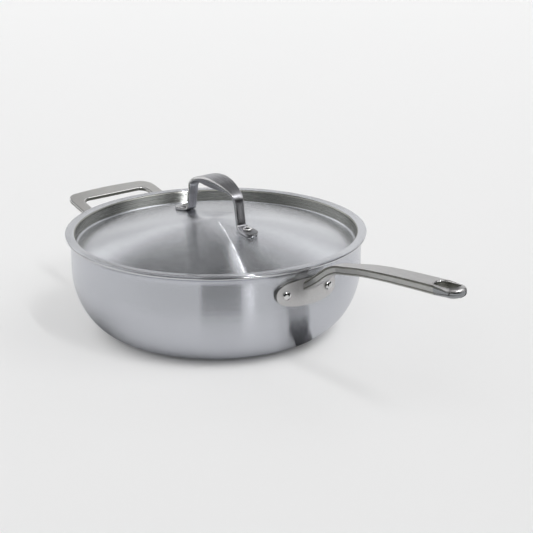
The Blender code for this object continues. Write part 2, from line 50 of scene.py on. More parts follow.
camera_lens = bpy.data.cameras.new('studio_camera')
camera_lens.sensor_width = SENSOR_WIDTH
camera_lens.lens = LENS_LENGTH
camera_lens.shift_x = HALF_PIXEL
camera_lens.shift_y = -HALF_PIXEL
camera = bpy.data.objects.new('studio_camera', camera_lens)
bpy.context.collection.objects.link(camera)
camera.matrix_world = (Matrix.Translation(CAMERA_PLACE)
                       @ Matrix.Rotation(CAMERA_HEADING, 4, 'Z')
                       @ Matrix.Rotation(CAMERA_TILT, 4, 'X')
                       @ Matrix.Rotation(CAMERA_ROLL, 4, 'Z'))
bpy.context.scene.camera = camera
bpy.context.scene.view_settings.view_transform = 'Standard'


def linear(code):
    """A hex colour as the linear values that a shader takes."""
    values = []
    for place in (0, 2, 4):
        value = int(code[place:place + 2], 16) / 255
        values.append(value / 12.92 if value <= 0.04045 else ((value + 0.055) / 1.055) ** 2.4)
    return (*values, 1.0)


def add_node(tree, kind, feeds=None, values=None, **settings):
    """Adds a shader node: feeds are its links, values its sockets, settings its properties."""
    made = tree.nodes.new('ShaderNode' + kind)
    for name, value in settings.items():
        setattr(made, name, value)
    for socket, value in (values or {}).items():
        made.inputs[socket].default_value = value
    for socket, source in (feeds or {}).items():
        tree.links.new(source, made.inputs[socket])
    return made


# Soft lights round the room. They and the front strip light were fitted to the photo's brightness
# with a solver, and rounded: heading right of the camera and height in degrees, how far each
# reaches sideways and up, and how bright its middle is
WIDE_LEFT = (-100, 30, 45, 15, 1.4)
BEHIND_LEFT = (-145, 25, 20, 12, 1.4)
OVER_HANDLE = (70, 35, 20, 15, 1.0)
BEHIND_RIGHT = (140, 30, 20, 15, 1.8)
OVERHEAD = (-10, 65, 60, 15, 2.5)
HIGH_RIGHT = (80, 50, 30, 12, 3.2)
LOW_BEHIND = (175, 10, 30, 8, 1.2)
SOFT_LIGHTS = (WIDE_LEFT, BEHIND_LEFT, OVER_HANDLE, BEHIND_RIGHT, OVERHEAD, HIGH_RIGHT, LOW_BEHIND)
LIGHT_COLOUR = 'FFFFFF'
CAMERA_SIDE = math.radians(-36.0)
world = bpy.data.worlds.new('studio_room')
world.use_nodes = True
room = world.node_tree
aim = add_node(room, 'TexCoord').outputs['Generated']
aim_parts = add_node(room, 'SeparateXYZ', {0: aim}).outputs
heading = add_node(room, 'Math', {0: aim_parts['Y'], 1: aim_parts['X']}, operation='ARCTAN2').outputs[0]
height = add_node(room, 'Math', {0: aim_parts['Z']}, operation='ARCSINE').outputs[0]


def bell(tree, value, middle, reach, wrap=False):
    """How far a value lies from a middle, in reaches, squared."""
    off = add_node(tree, 'Math', {0: value}, {1: middle}, operation='SUBTRACT').outputs[0]
    if wrap:
        off = add_node(tree, 'Math', {0: off}, {1: math.pi, 2: -math.pi}, operation='WRAP').outputs[0]
    off = add_node(tree, 'Math', {0: off}, {1: reach}, operation='DIVIDE').outputs[0]
    return add_node(tree, 'Math', {0: off, 1: off}, operation='MULTIPLY').outputs[0]


def fade(tree, first, second, strength):
    """A light's strength, fading with the sum of two squared distances."""
    far = add_node(tree, 'Math', {0: first, 1: second}, operation='ADD').outputs[0]
    less = add_node(tree, 'Math', {0: far}, {1: -1.0}, operation='MULTIPLY').outputs[0]
    share = add_node(tree, 'Math', {0: less}, operation='EXPONENT').outputs[0]
    return add_node(tree, 'Math', {0: share}, {1: strength}, operation='MULTIPLY').outputs[0]


lights = []
for side, up, width, tall, strength in SOFT_LIGHTS:
    across = bell(room, heading, math.radians(side) + CAMERA_SIDE, math.radians(width), wrap=True)
    above = bell(room, height, math.radians(up), math.radians(tall))
    lights.append(fade(room, across, above, strength))

# Two narrow strip lights, one in front of the pan and one above and behind it, draw the bright
# lines down the wall and the dome: heading right of the camera in degrees, offset to the side and
# half width as sines, height in degrees from the front, how far it reaches, strength
FRONT_STRIP = (13.0, 0.215, 0.018, 55.0, 12.0, 75.0)
BACK_STRIP = (12.0, 0.200, 0.012, 143.0, 15.0, 4.8)
STRIP_LIGHTS = (FRONT_STRIP, BACK_STRIP)
for side, offset, width, up, reach, strength in STRIP_LIGHTS:
    turn = math.radians(side) + CAMERA_SIDE
    across = add_node(room, 'VectorMath', {0: aim}, {1: (-math.sin(turn), math.cos(turn), 0.0)},
                      operation='DOT_PRODUCT').outputs['Value']
    forward = add_node(room, 'VectorMath', {0: aim}, {1: (math.cos(turn), math.sin(turn), 0.0)},
                       operation='DOT_PRODUCT').outputs['Value']
    climb = add_node(room, 'Math', {0: aim_parts['Z'], 1: forward}, operation='ARCTAN2').outputs[0]
    lights.append(fade(room, bell(room, across, offset, width),
                       bell(room, climb, math.radians(up), math.radians(reach)), strength))
total = lights[0]
for light in lights[1:]:
    total = add_node(room, 'Math', {0: total, 1: light}, operation='ADD').outputs[0]
room.nodes['Background'].inputs['Color'].default_value = linear(LIGHT_COLOUR)
room.links.new(total, room.nodes['Background'].inputs['Strength'])
bpy.context.scene.world = world

# The floor is pale matt card. It keeps the pan's shadow, and away from the pan it is lifted to a
# pale background, which grows lighter to the back: for the camera, and partly for the steel
FLOOR_SIZE = 12.0
FLOOR_DROP = 0.0002
FLOOR_COLOUR = 'F8F8F8'
MATT = 0.9
FLOOR_GLOSS = 0.1
AWAY_FROM_CAMERA = (-math.cos(CAMERA_SIDE), -math.sin(CAMERA_SIDE), 0.0)
GLOW_START = 0.088
GLOW_FULL = 0.135
GLOW_SHARE = 0.55
GLOW_FRONT = -0.5
GLOW_BACK = 2.2
GLOW_NEAR = 0.77
GLOW_FAR = 1.0
GLOW_MIRRORED = 0.25
MIRROR_FRONT = -0.15
MIRROR_BACK = 0.20
bpy.ops.object.select_all(action='DESELECT')
bpy.ops.mesh.primitive_plane_add(size=FLOOR_SIZE, location=(0.0, 0.0, -FLOOR_DROP))
floor = bpy.context.object
floor.name = floor.data.name = 'floor_card'


def matt_surface(name, colour):
    """Starts a matt, unpatterned surface for the studio."""
    made = bpy.data.materials.new(name)
    made.use_nodes = True
    shader = made.node_tree.nodes['Principled BSDF']
    shader.inputs['Base Color'].default_value = linear(colour)
    shader.inputs['Roughness'].default_value = MATT
    return made, made.node_tree, shader


card, tree, shader = matt_surface('pale_card', FLOOR_COLOUR)
shader.inputs['Specular IOR Level'].default_value = FLOOR_GLOSS
place = add_node(tree, 'TexCoord').outputs['Object']
away = add_node(tree, 'VectorMath', {0: place}, {1: AWAY_FROM_CAMERA},
                operation='DOT_PRODUCT').outputs['Value']
glow = add_node(tree, 'MapRange', {'Value': away},
                {'From Min': GLOW_FRONT, 'From Max': GLOW_BACK,
                 'To Min': GLOW_NEAR, 'To Max': GLOW_FAR}).outputs[0]
lit = add_node(tree, 'Emission', {'Strength': glow}).outputs[0]
reach = add_node(tree, 'VectorMath', {0: place}, operation='LENGTH').outputs['Value']
share = add_node(tree, 'MapRange', {'Value': reach},
                 {'From Min': GLOW_START, 'From Max': GLOW_FULL, 'To Min': 0.0, 'To Max': GLOW_SHARE},
                 interpolation_type='SMOOTHSTEP').outputs[0]
behind = add_node(tree, 'MapRange', {'Value': away},
                  {'From Min': MIRROR_FRONT, 'From Max': MIRROR_BACK, 'To Min': GLOW_MIRRORED, 'To Max': 0.0},
                  interpolation_type='SMOOTHSTEP').outputs[0]
ray = add_node(tree, 'LightPath').outputs
mirrored = add_node(tree, 'Math', {0: ray['Is Glossy Ray'], 1: behind}, operation='MULTIPLY').outputs[0]
seen = add_node(tree, 'Math', {0: ray['Is Camera Ray'], 1: mirrored}, operation='MAXIMUM').outputs[0]
seen = add_node(tree, 'Math', {0: seen, 1: ray['Is Transmission Ray']}, operation='MAXIMUM').outputs[0]
share = add_node(tree, 'Math', {0: share, 1: seen}, operation='MULTIPLY').outputs[0]
both = add_node(tree, 'MixShader', {0: share, 1: shader.outputs[0], 2: lit}).outputs[0]
tree.links.new(both, tree.nodes['Material Output'].inputs['Surface'])
floor.data.materials.append(card)


# Cards stand and lie close to the pan, and only the steel sees them: dark felt standing round it and
# grey felt lying beside the pan under the long handle draw the dark bands in it, and a pale lit card
# behind brightens the small loop. The lying grey felt is painted shadow: it darkens the floor that the
# steel mirrors where the handle's shadow falls. A standing card is its turn round the pan in degrees,
# its span sideways, its distance and its heights
DARK_COLOUR = '101010'
SHADOW_GREY = '505052'
FRONT_CARD = (54.0, (-0.057, 0.093), 0.3454, (0.0, 0.6))
SIDE_CARD = (120.0, (-0.137, -0.036), 0.3450, (0.0, 0.7))
BACK_CARD = (230.0, (-0.24, 0.18), 0.42, (0.22, 0.52))
BACK_CARD_STRENGTH = 0.85
# A lying card is its four corners in order, each (towards the camera, right of it)
LYING_HEIGHT = 0.0002
FAR_SHADOW_PATCH = ((0.150, 0.128), (0.121, 0.091), (0.097, 0.116), (0.114, 0.160))
NEAR_SHADOW_PATCH = ((0.121, 0.091), (0.066, 0.076), (0.046, 0.089), (0.097, 0.116))
LOW_SHADE = ((0.22, 0.04), (0.22, -0.30), (-0.10, -0.30), (-0.10, 0.04))
SHADE_MIDDLE = (-0.0431, -0.1121)
SHADE_REACH = 0.045
SHADE_DEPTH = 0.60


def standing(turn, span, distance, heights):
    """The corners of a card that stands upright, turned round the pan."""
    turned = Matrix.Rotation(math.radians(turn), 3, 'Z')
    low, high = heights
    left, right = span
    return [turned @ Vector((side, -distance, height))
            for side, height in ((left, low), (right, low), (right, high), (left, high))]


def lying(places):
    """The corners of a card that lies on the floor."""
    return [(near * math.cos(CAMERA_SIDE) - right * math.sin(CAMERA_SIDE),
             near * math.sin(CAMERA_SIDE) + right * math.cos(CAMERA_SIDE), LYING_HEIGHT)
            for near, right in places]


def add_card(name, corners, material):
    """Adds a card with four corners that only the steel sees, and that throws no shadow."""
    bpy.ops.object.select_all(action='DESELECT')
    bpy.ops.mesh.primitive_plane_add(size=1.0)
    made = bpy.context.object
    made.name = made.data.name = name
    first, second, third, last = corners
    for vertex, corner in zip(made.data.vertices, (first, second, last, third)):
        vertex.co = corner
    made.data.materials.append(material)
    made.visible_camera = made.visible_diffuse = made.visible_shadow = False


dark_felt = matt_surface('dark_felt', DARK_COLOUR)[0]
painted_shadow_felt = matt_surface('painted_shadow_felt', SHADOW_GREY)[0]

# Painted shadow: a dark gauze lying on the floor beside the pan's base on its left, see-through at its
# edges, that only dims what the steel mirrors round its middle
painted_shadow_gauze, tree, shader = matt_surface('painted_shadow_gauze', DARK_COLOUR)
spot = add_node(tree, 'SeparateXYZ', {0: add_node(tree, 'TexCoord').outputs['Object']}).outputs
depth = fade(tree, bell(tree, spot['X'], SHADE_MIDDLE[0], SHADE_REACH),
             bell(tree, spot['Y'], SHADE_MIDDLE[1], SHADE_REACH), SHADE_DEPTH)
clear = add_node(tree, 'BsdfTransparent').outputs[0]
both = add_node(tree, 'MixShader', {0: depth, 1: clear, 2: shader.outputs[0]}).outputs[0]
tree.links.new(both, tree.nodes['Material Output'].inputs['Surface'])

lit_card, tree, shader = matt_surface('lit_card', FLOOR_COLOUR)
lamp = add_node(tree, 'Emission', values={'Strength': BACK_CARD_STRENGTH}).outputs[0]
tree.links.new(lamp, tree.nodes['Material Output'].inputs['Surface'])

add_card('dark_card_front', standing(*FRONT_CARD), dark_felt)
add_card('dark_card_side', standing(*SIDE_CARD), dark_felt)
# Painted shadow: grey felt lying under the long handle, seen only in the steel
add_card('painted_shadow_card_far', lying(FAR_SHADOW_PATCH), painted_shadow_felt)
add_card('painted_shadow_card_near', lying(NEAR_SHADOW_PATCH), painted_shadow_felt)
add_card('painted_shadow_card_low', lying(LOW_SHADE), painted_shadow_gauze)
add_card('lit_card_back', standing(*BACK_CARD), lit_card)


# The pan body: a bowl spun and pressed from clad steel sheet, 2.7 mm thick, with a flat base,
# a long round corner, a straight wall and a lip that flares for pouring. It is brushed round
# the axis outside and inside, and only the cut edge of the lip is polished.
WELD = 0.000001
SMOOTH_ANGLE = math.radians(32.0)
PAN_TURNS = 192
PAN_RADIUS = 0.1454
PAN_INNER_RADIUS = 0.1427
PAN_BASE_RADIUS = 0.0897
PAN_CORNER_HEIGHT = 0.0679
PAN_FLOOR_HEIGHT = 0.0027
BASE_RINGS = (0.0, 0.030, 0.060)
WALL_RINGS = (0.0750, 0.0830)
CORNER_STEPS = 28
FLARE_START = 0.0910
FLARE_OUTSIDE = (0.0050, 0.0070)
FLARE_INSIDE = (0.0050, 0.0100)
FLARE_END_ANGLE = 105
FLARE_STEPS = 8
LIP_OUTER_RADIUS = 0.1504
LIP_ROUND = 0.0015
PAN_TOP = 0.1010


def bow(centre, radii, start, end, steps):
    """Points on an ellipse from one angle to another, in degrees, both ends included."""
    points = []
    for step in range(steps + 1):
        angle = math.radians(start + (end - start) * step / steps)
        points.append((centre[0] + radii[0] * math.cos(angle),
                       centre[1] + radii[1] * math.sin(angle)))
    return points


def draw_line(points):
    """In edit mode, adds a line: one point that is drawn out from place to place."""
    bpy.ops.mesh.select_all(action='DESELECT')
    bpy.ops.mesh.primitive_plane_add(size=0.002)
    bpy.ops.mesh.merge(type='CENTER')
    bpy.ops.transform.translate(value=points[0])
    for before, after in zip(points, points[1:]):
        step = [b - a for a, b in zip(before, after)]
        bpy.ops.mesh.extrude_region_move(TRANSFORM_OT_translate={'value': step})


def bridge_lines():
    """In edit mode, fills the strip between two lines and selects it."""
    bpy.ops.mesh.select_all(action='SELECT')
    bpy.ops.mesh.bridge_edge_loops()
    bpy.ops.mesh.select_all(action='SELECT')


def start_piece(name):
    """Adds a piece with an empty mesh and opens it for editing."""
    bpy.ops.object.select_all(action='DESELECT')
    bpy.ops.mesh.primitive_plane_add(size=0.002)
    piece = bpy.context.object
    piece.name = piece.data.name = name
    bpy.ops.object.mode_set(mode='EDIT')
    bpy.ops.mesh.select_mode(type='VERT')
    bpy.ops.mesh.delete(type='VERT')
    return piece


def close_piece():
    """Welds what meets, turns the faces outwards and smooths all but the sharp edges."""
    bpy.ops.mesh.select_all(action='SELECT')
    bpy.ops.mesh.remove_doubles(threshold=WELD)
    bpy.ops.mesh.normals_make_consistent(inside=False)
    bpy.ops.object.mode_set(mode='OBJECT')
    bpy.ops.object.shade_smooth_by_angle(angle=SMOOTH_ANGLE)


def spin_outline(name, outline, turns):
    """A line is drawn along an outline of radius and height, and spun round the axis."""
    piece = start_piece(name)
    draw_line([(radius, 0.0, height) for radius, height in outline])
    bpy.ops.mesh.select_all(action='SELECT')
    bpy.ops.mesh.spin(steps=turns, angle=2 * math.pi, center=(0.0, 0.0, 0.0), axis=(0.0, 0.0, 1.0))
    close_piece()
    return piece


corner_centre = (PAN_BASE_RADIUS, PAN_CORNER_HEIGHT)
pan_outline = [(radius, 0.0) for radius in BASE_RINGS]
pan_outline += bow(corner_centre, (PAN_RADIUS - PAN_BASE_RADIUS, PAN_CORNER_HEIGHT), -90, 0, CORNER_STEPS)
pan_outline += [(PAN_RADIUS, height) for height in WALL_RINGS]
pan_outline += bow((LIP_OUTER_RADIUS, FLARE_START), FLARE_OUTSIDE, 180, FLARE_END_ANGLE, FLARE_STEPS)
pan_outline += bow((LIP_OUTER_RADIUS - LIP_ROUND, PAN_TOP - LIP_ROUND), (LIP_ROUND, LIP_ROUND), -50, 90, 9)
pan_outline += bow((PAN_INNER_RADIUS + FLARE_INSIDE[0], FLARE_START), FLARE_INSIDE,
                   FLARE_END_ANGLE, 180, FLARE_STEPS)
pan_outline += [(PAN_INNER_RADIUS, height) for height in WALL_RINGS[::-1]]
pan_outline += bow(corner_centre, (PAN_INNER_RADIUS - PAN_BASE_RADIUS, PAN_CORNER_HEIGHT - PAN_FLOOR_HEIGHT),
                   0, -90, CORNER_STEPS)
pan_outline += [(radius, PAN_FLOOR_HEIGHT) for radius in BASE_RINGS[::-1]]
pan = spin_outline('pan_bowl', pan_outline, PAN_TURNS)

# Real brushing is 0.02 to 0.1 mm fine, too fine to show. Its spread of light is drawn by leaning
# the surface by chance, point by point, and its uneven sheen and tone in rings 0.5 and 1.2 mm apart
SHEEN_PITCH = 0.0005
SHEEN_LENGTH = 0.060
TONE_PITCH = 0.0012
TONE_LENGTH = 0.090
LIP_PITCH = 0.0004
LIP_LENGTH = 0.040
STEEPEST = 0.985
# The highlights spread across the grooves, a quarter turn from the way these run
QUARTER_TURN = 0.25
NOISE_LOW = 0.3
NOISE_HIGH = 0.7
LIP_EDGE_DEPTH = 2 * LIP_ROUND
LIP_EDGE_WIDTH = 1.6 * LIP_ROUND


def steel(name, colour, roughness):
    """Starts a stainless steel: bare metal of one colour and one roughness."""
    made = bpy.data.materials.new(name)
    made.use_nodes = True
    shader = made.node_tree.nodes['Principled BSDF']
    shader.inputs['Base Color'].default_value = linear(colour)
    shader.inputs['Metallic'].default_value = 1.0
    shader.inputs['Roughness'].default_value = roughness
    return made, made.node_tree, shader


def ring_grain(tree, pitch, arc_length):
    """Noise drawn out round the axis, its rings pitch apart and its scratches of one length."""
    place = add_node(tree, 'TexCoord').outputs['Object']
    parts = add_node(tree, 'SeparateXYZ', {0: place}).outputs
    flat = add_node(tree, 'CombineXYZ', {'X': parts['X'], 'Y': parts['Y']}).outputs[0]
    radius = add_node(tree, 'VectorMath', {0: flat}, operation='LENGTH').outputs['Value']
    heading = add_node(tree, 'VectorMath', {0: flat}, operation='NORMALIZE').outputs['Vector']
    heading_parts = add_node(tree, 'SeparateXYZ', {0: heading}).outputs
    across = add_node(tree, 'Math', {0: radius, 1: parts['Z']}, operation='ADD').outputs[0]
    ring = add_node(tree, 'Math', {0: across}, {1: 1 / pitch}, operation='MULTIPLY').outputs[0]
    turns = PAN_RADIUS / arc_length
    side = add_node(tree, 'Math', {0: heading_parts['X']}, {1: turns}, operation='MULTIPLY').outputs[0]
    front = add_node(tree, 'Math', {0: heading_parts['Y']}, {1: turns}, operation='MULTIPLY').outputs[0]
    spread = add_node(tree, 'CombineXYZ', {'X': ring, 'Y': side, 'Z': front}).outputs[0]
    return add_node(tree, 'TexNoise', {'Vector': spread},
                    {'Scale': 1.0, 'Detail': 2.0, 'Roughness': 0.6}).outputs[0]


def lean_grooves(tree, shader, tangent, steepness):
    """Leans the surface across its grooves by chance, as grooves finer than a pixel would."""
    place = add_node(tree, 'TexCoord').outputs['Object']
    chance = add_node(tree, 'TexWhiteNoise', {'Vector': place}).outputs['Value']
    even = add_node(tree, 'MapRange', {'Value': chance}, {'To Min': -STEEPEST, 'To Max': STEEPEST}).outputs[0]
    angle = add_node(tree, 'Math', {0: even}, operation='ARCSINE').outputs[0]
    slope = add_node(tree, 'Math', {0: angle}, operation='TANGENT').outputs[0]
    lean = add_node(tree, 'Math', {0: slope}, {1: steepness}, operation='MULTIPLY').outputs[0]
    facing = add_node(tree, 'NewGeometry').outputs['Normal']
    across = add_node(tree, 'VectorMath', {0: tangent, 1: facing}, operation='CROSS_PRODUCT').outputs[0]
    push = add_node(tree, 'VectorMath', {0: across, 'Scale': lean}, operation='SCALE').outputs[0]
    leaning = add_node(tree, 'VectorMath', {0: facing, 1: push}, operation='ADD').outputs[0]
    settled = add_node(tree, 'VectorMath', {0: leaning}, operation='NORMALIZE').outputs[0]
    tree.links.new(settled, shader.inputs['Normal'])
    tree.links.new(tangent, shader.inputs['Tangent'])
    shader.inputs['Anisotropic'].default_value = 1.0
    shader.inputs['Anisotropic Rotation'].default_value = QUARTER_TURN


def vary_sheen(tree, shader, noise, low, high):
    """Lets a noise move a steel's roughness between two ends."""
    moved = add_node(tree, 'MapRange', {'Value': noise},
                     {'From Min': NOISE_LOW, 'From Max': NOISE_HIGH,
                      'To Min': low, 'To Max': high}).outputs[0]
    tree.links.new(moved, shader.inputs['Roughness'])


def vary_tone(tree, shader, noise, dark, light):
    """Lets a noise move a steel's colour between two close ones."""
    mixed = add_node(tree, 'ValToRGB', {'Fac': noise})
    for stop, place, colour in zip(mixed.color_ramp.elements, (NOISE_LOW, NOISE_HIGH), (dark, light)):
        stop.position = place
        stop.color = linear(colour)
    tree.links.new(mixed.outputs[0], shader.inputs['Base Color'])


def steel_brushed_round(name, colour, roughness, spread, steepness, tones):
    """A steel brushed round the axis, with uneven sheen and tone from ring to ring."""
    made, tree, shader = steel(name, colour, roughness)
    tangent = add_node(tree, 'Tangent', direction_type='RADIAL', axis='Z').outputs[0]
    lean_grooves(tree, shader, tangent, steepness)
    sheen = ring_grain(tree, SHEEN_PITCH, SHEEN_LENGTH)
    vary_sheen(tree, shader, sheen, roughness - spread, roughness + spread)
    vary_tone(tree, shader, ring_grain(tree, TONE_PITCH, TONE_LENGTH), *tones)
    return made


def give_steels(piece, *steels):
    """Gives a piece its steels, in order."""
    for material in steels:
        piece.data.materials.append(material)


# Stainless steel cladding, brushed while the bowl spins: its ring grooves smear reflections up
# and down the wall and keep them sharp sideways, so lights and dark cards show as upright bands
clad_brushed = steel_brushed_round('clad_steel_brushed_round', 'CBCDD3', roughness=0.24, spread=0.012,
                                   steepness=0.15, tones=('C9CBD1', 'CDCFD5'))

# The same cladding, ground and buffed on the lip's cut edge: a thin, brighter line
lip_polished, tree, shader = steel('clad_steel_lip_polished', 'D2D3D6', roughness=0.22)
vary_sheen(tree, shader, ring_grain(tree, LIP_PITCH, LIP_LENGTH), low=0.18, high=0.27)

give_steels(pan, clad_brushed, lip_polished)
for face in pan.data.polygons:
    reach = math.hypot(face.center.x, face.center.y)
    if face.center.z > PAN_TOP - LIP_EDGE_DEPTH and reach > LIP_OUTER_RADIUS - LIP_EDGE_WIDTH:
        face.material_index = 1
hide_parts('pan_body')
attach(pan, 'pan')


# The long handle: one stainless casting, an oval plate that hugs the wall and an arm that grows
# out of it in an S, with a groove down each side, a rounded nose and an oval hanging hole.
# It is satin on top and polished on its edges, nose and hole's rim. Its sides, nose, grooves, hole
# and plate rims are painted darker as shade, and the sides near its root paler as light.
PLATE_BACK_RADIUS = 0.1457
PLATE_FRONT_RADIUS = 0.1492
PLATE_THICK = PLATE_FRONT_RADIUS - PLATE_BACK_RADIUS
PLATE_FULLNESS = 2.5
PLATE_COLUMNS = 64
PLATE_TIP = 0.999
CAST_EDGE_ROUND = 0.0010
LONG_PLATE_HALF_WIDTH = 0.0360
LONG_PLATE_HEIGHT = 0.0265
LONG_PLATE_CENTRE = 0.0770
ARM_START = PLATE_FRONT_RADIUS
ARM_ROOT_HEIGHT = 0.0830
ARM_RISE = 0.0488
ARM_REACH = 0.2112
ARM_SUNK = 0.0021
ARM_SUNK_DROP = 0.03
# Places along the arm: shares of its reach and its rise, then width and thickness there
ARM_STATIONS = ((0.04, 0.112, 0.0120, 0.0090), (0.08, 0.228, 0.0114, 0.0092),
                (0.12, 0.356, 0.0114, 0.0092), (0.16, 0.470, 0.0116, 0.0092),
                (0.21, 0.566, 0.0122, 0.0090), (0.28, 0.633, 0.0140, 0.0089),
                (0.40, 0.742, 0.0180, 0.0088), (0.54, 0.827, 0.0204, 0.0091),
                (0.72, 0.906, 0.0210, 0.0096), (1.00, 1.010, 0.0210, 0.0102))
ARM_ROOT_SIZE = (0.0136, 0.0086)
ARM_NOSE_SIZE = (0.0210, 0.0102)
NOSE_CLEAR = 0.001
NOSE_STEPS = 14
NOSE_TURN = 83.0
NOSE_POLISH = 0.0240
ROOT_LENGTH = 0.0460
# The upper and the lower groove, as shares of the arm's thickness
GROOVE_LOW = 0.215
GROOVE_HIGH = 0.445
LOWER_GROOVE_LOW = -0.340
LOWER_GROOVE_HIGH = -0.190
HOLE_LENGTH = 0.0270
HOLE_WIDTH = 0.0150
HOLE_END_MARGIN = 0.0062
HOLE_RIM_ROUND = 0.0012
HOLE_SIDES = 56
HOLE_WALL_SHARE = 0.9
MOUTH_STEPS = 5
MOUTH_LIFT = 0.002
# Where the arm is pinched thinner towards its nose, in nose radii, and how full it stays
PINCH_START = 2.4
PINCH_LENGTH = 1.5
PINCH_FULLNESS = 1.06
PINCH_ROUND = 5
ARM_TILT_LENGTH = 0.008
EASE_LIMIT = 0.48
SHARP_ANGLE = math.radians(50.0)
# How far a face must turn one way, as a share of its normal, to take a steel of its own
RIM_FACING = 0.2
GROOVE_FACING = 0.4
HALF_FACING = 0.5
SIDE_FACING = 0.6
END_FACING = 0.9
# The order of the steels on both handles: SIDE, RECESS and NOSE carry painted shade, ROOT painted light
SATIN, POLISHED, SIDE, RECESS, NOSE, ROOT = range(6)


def eased(points, steps):
    """A smooth curve through points of any dimension, with steps samples between two of them."""
    curve = []
    last = len(points) - 1
    for index in range(last):
        before, start = points[max(index - 1, 0)], points[index]
        end, after = points[index + 1], points[min(index + 2, last)]
        for step in range(steps):
            t = step / steps
            curve.append(tuple(0.5 * (2 * b + (c - a) * t + (2 * a - 5 * b + 4 * c - d) * t ** 2
                                      + (3 * b - a - 3 * c + d) * t ** 3)
                               for a, b, c, d in zip(before, start, end, after)))
    curve.append(tuple(points[last]))
    return curve


def curve_point(start, bend, end, share):
    """A point on the curve from start to end that a bend pulls on."""
    return start * (1 - share) ** 2 + bend * 2 * share * (1 - share) + end * share ** 2


def rounded(corners, steps):
    """A closed outline whose corners, each (x, y, round), are eased over that length."""
    outline = []
    for index, (x, y, ease) in enumerate(corners):
        here = Vector((x, y))
        before = Vector(corners[index - 1][:2])
        after = Vector(corners[(index + 1) % len(corners)][:2])
        if ease == 0:
            outline.append((x, y))
            continue
        start = here + (before - here).normalized() * min(ease, (before - here).length * EASE_LIMIT)
        end = here + (after - here).normalized() * min(ease, (after - here).length * EASE_LIMIT)
        outline += [tuple(curve_point(start, here, end, step / steps)) for step in range(steps + 1)]
    return outline


def wrapped_plate(name, half_width, height, centre, facing):
    """An oval plate round the wall: a strip drawn round in columns, facing outwards."""
    piece = start_piece(name)
    for edge in (-1, 1):
        line = []
        for column in range(PLATE_COLUMNS + 1):
            share = -math.cos(math.pi * column / PLATE_COLUMNS) * PLATE_TIP
            half_height = height / 2 * (1 - abs(share) ** PLATE_FULLNESS) ** (1 / PLATE_FULLNESS)
            angle = facing + share * half_width / PLATE_FRONT_RADIUS
            line.append((PLATE_FRONT_RADIUS * math.cos(angle), PLATE_FRONT_RADIUS * math.sin(angle),
                         centre + edge * half_height))
        draw_line(line)
    bridge_lines()
    bpy.ops.mesh.normals_make_consistent(inside=False)
    bpy.ops.object.mode_set(mode='OBJECT')
    outward = Vector((math.cos(facing), math.sin(facing), 0.0))
    if piece.data.polygons[PLATE_COLUMNS // 2].normal.dot(outward) < 0:
        piece.data.flip_normals()
    return piece


def thicken(piece, thickness, offset, edge_round):
    """Gives a sheet its thickness and rounded edges; its rim is polished."""
    solid = piece.modifiers.new('thickness', 'SOLIDIFY')
    solid.thickness = thickness
    solid.offset = offset
    solid.use_even_offset = True
    solid.material_offset_rim = POLISHED
    round_edges(piece, edge_round)


def round_edges(piece, edge_round):
    """Rounds a piece's sharp edges, whose new faces are polished."""
    softened = piece.modifiers.new('edge', 'BEVEL')
    softened.width = edge_round
    softened.segments = 3
    softened.limit_method = 'ANGLE'
    softened.angle_limit = SHARP_ANGLE
    softened.material = POLISHED
    apply_modifiers(piece)


def darken_rim(plate):
    """Gives the sides of a plate round the wall the dark recess steel, inside their polished edges: painted
    shade of the gap at the wall.
    """
    for face in plate.data.polygons:
        outward = Vector((face.center.x, face.center.y, 0.0)).normalized()
        if abs(face.normal.dot(outward)) < RIM_FACING:
            face.material_index = RECESS


def apply_modifiers(piece):
    """Applies a piece's modifiers in order and smooths all but its sharp edges."""
    bpy.ops.object.select_all(action='DESELECT')
    piece.select_set(True)
    bpy.context.view_layer.objects.active = piece
    for name in [modifier.name for modifier in piece.modifiers]:
        bpy.ops.object.modifier_apply(modifier=name)
    bpy.ops.object.shade_smooth_by_angle(angle=SMOOTH_ANGLE)


def combine(piece, tool, operation):
    """Joins a tool shape to a piece or cuts it out, and removes the tool."""
    change = piece.modifiers.new('combine', 'BOOLEAN')
    change.operation = operation
    change.solver = 'EXACT'
    change.object = tool
    apply_modifiers(piece)
    bpy.data.objects.remove(tool, do_unlink=True)


# The marks of grinding and casting below are a few tenths of a millimetre wide on the real
# handle. They are drawn 0.8 to 2 mm wide so that they show, and their sizes are in metres
ALONG_ARM = (1.0, 0.0, 0.0)
GROUND_MARKS = (0.020, 0.0011, 0.0011)
GROUND_PATCHES = (0.012, 0.0016, 0.0016)
BUFFED_MARKS = (0.004, 0.0015, 0.0015)
SIDE_MARKS = (0.016, 0.0012, 0.0008)
SIDE_PATCHES = (0.010, 0.0016, 0.0010)
CAST_MARKS = (0.003, 0.0015, 0.0015)
CAST_PATCHES = (0.004, 0.0020, 0.0020)
HALF_BRUSHED = 0.5


def long_grain(tree, lengths):
    """Noise drawn out along an object's axes: lengths are the size of its marks along X, Y and Z."""
    place = add_node(tree, 'TexCoord').outputs['Object']
    drawn = add_node(tree, 'VectorMath', {0: place}, {1: [1 / length for length in lengths]},
                     operation='MULTIPLY').outputs[0]
    return add_node(tree, 'TexNoise', {'Vector': drawn},
                    {'Scale': 1.0, 'Detail': 3.0, 'Roughness': 0.6}).outputs[0]


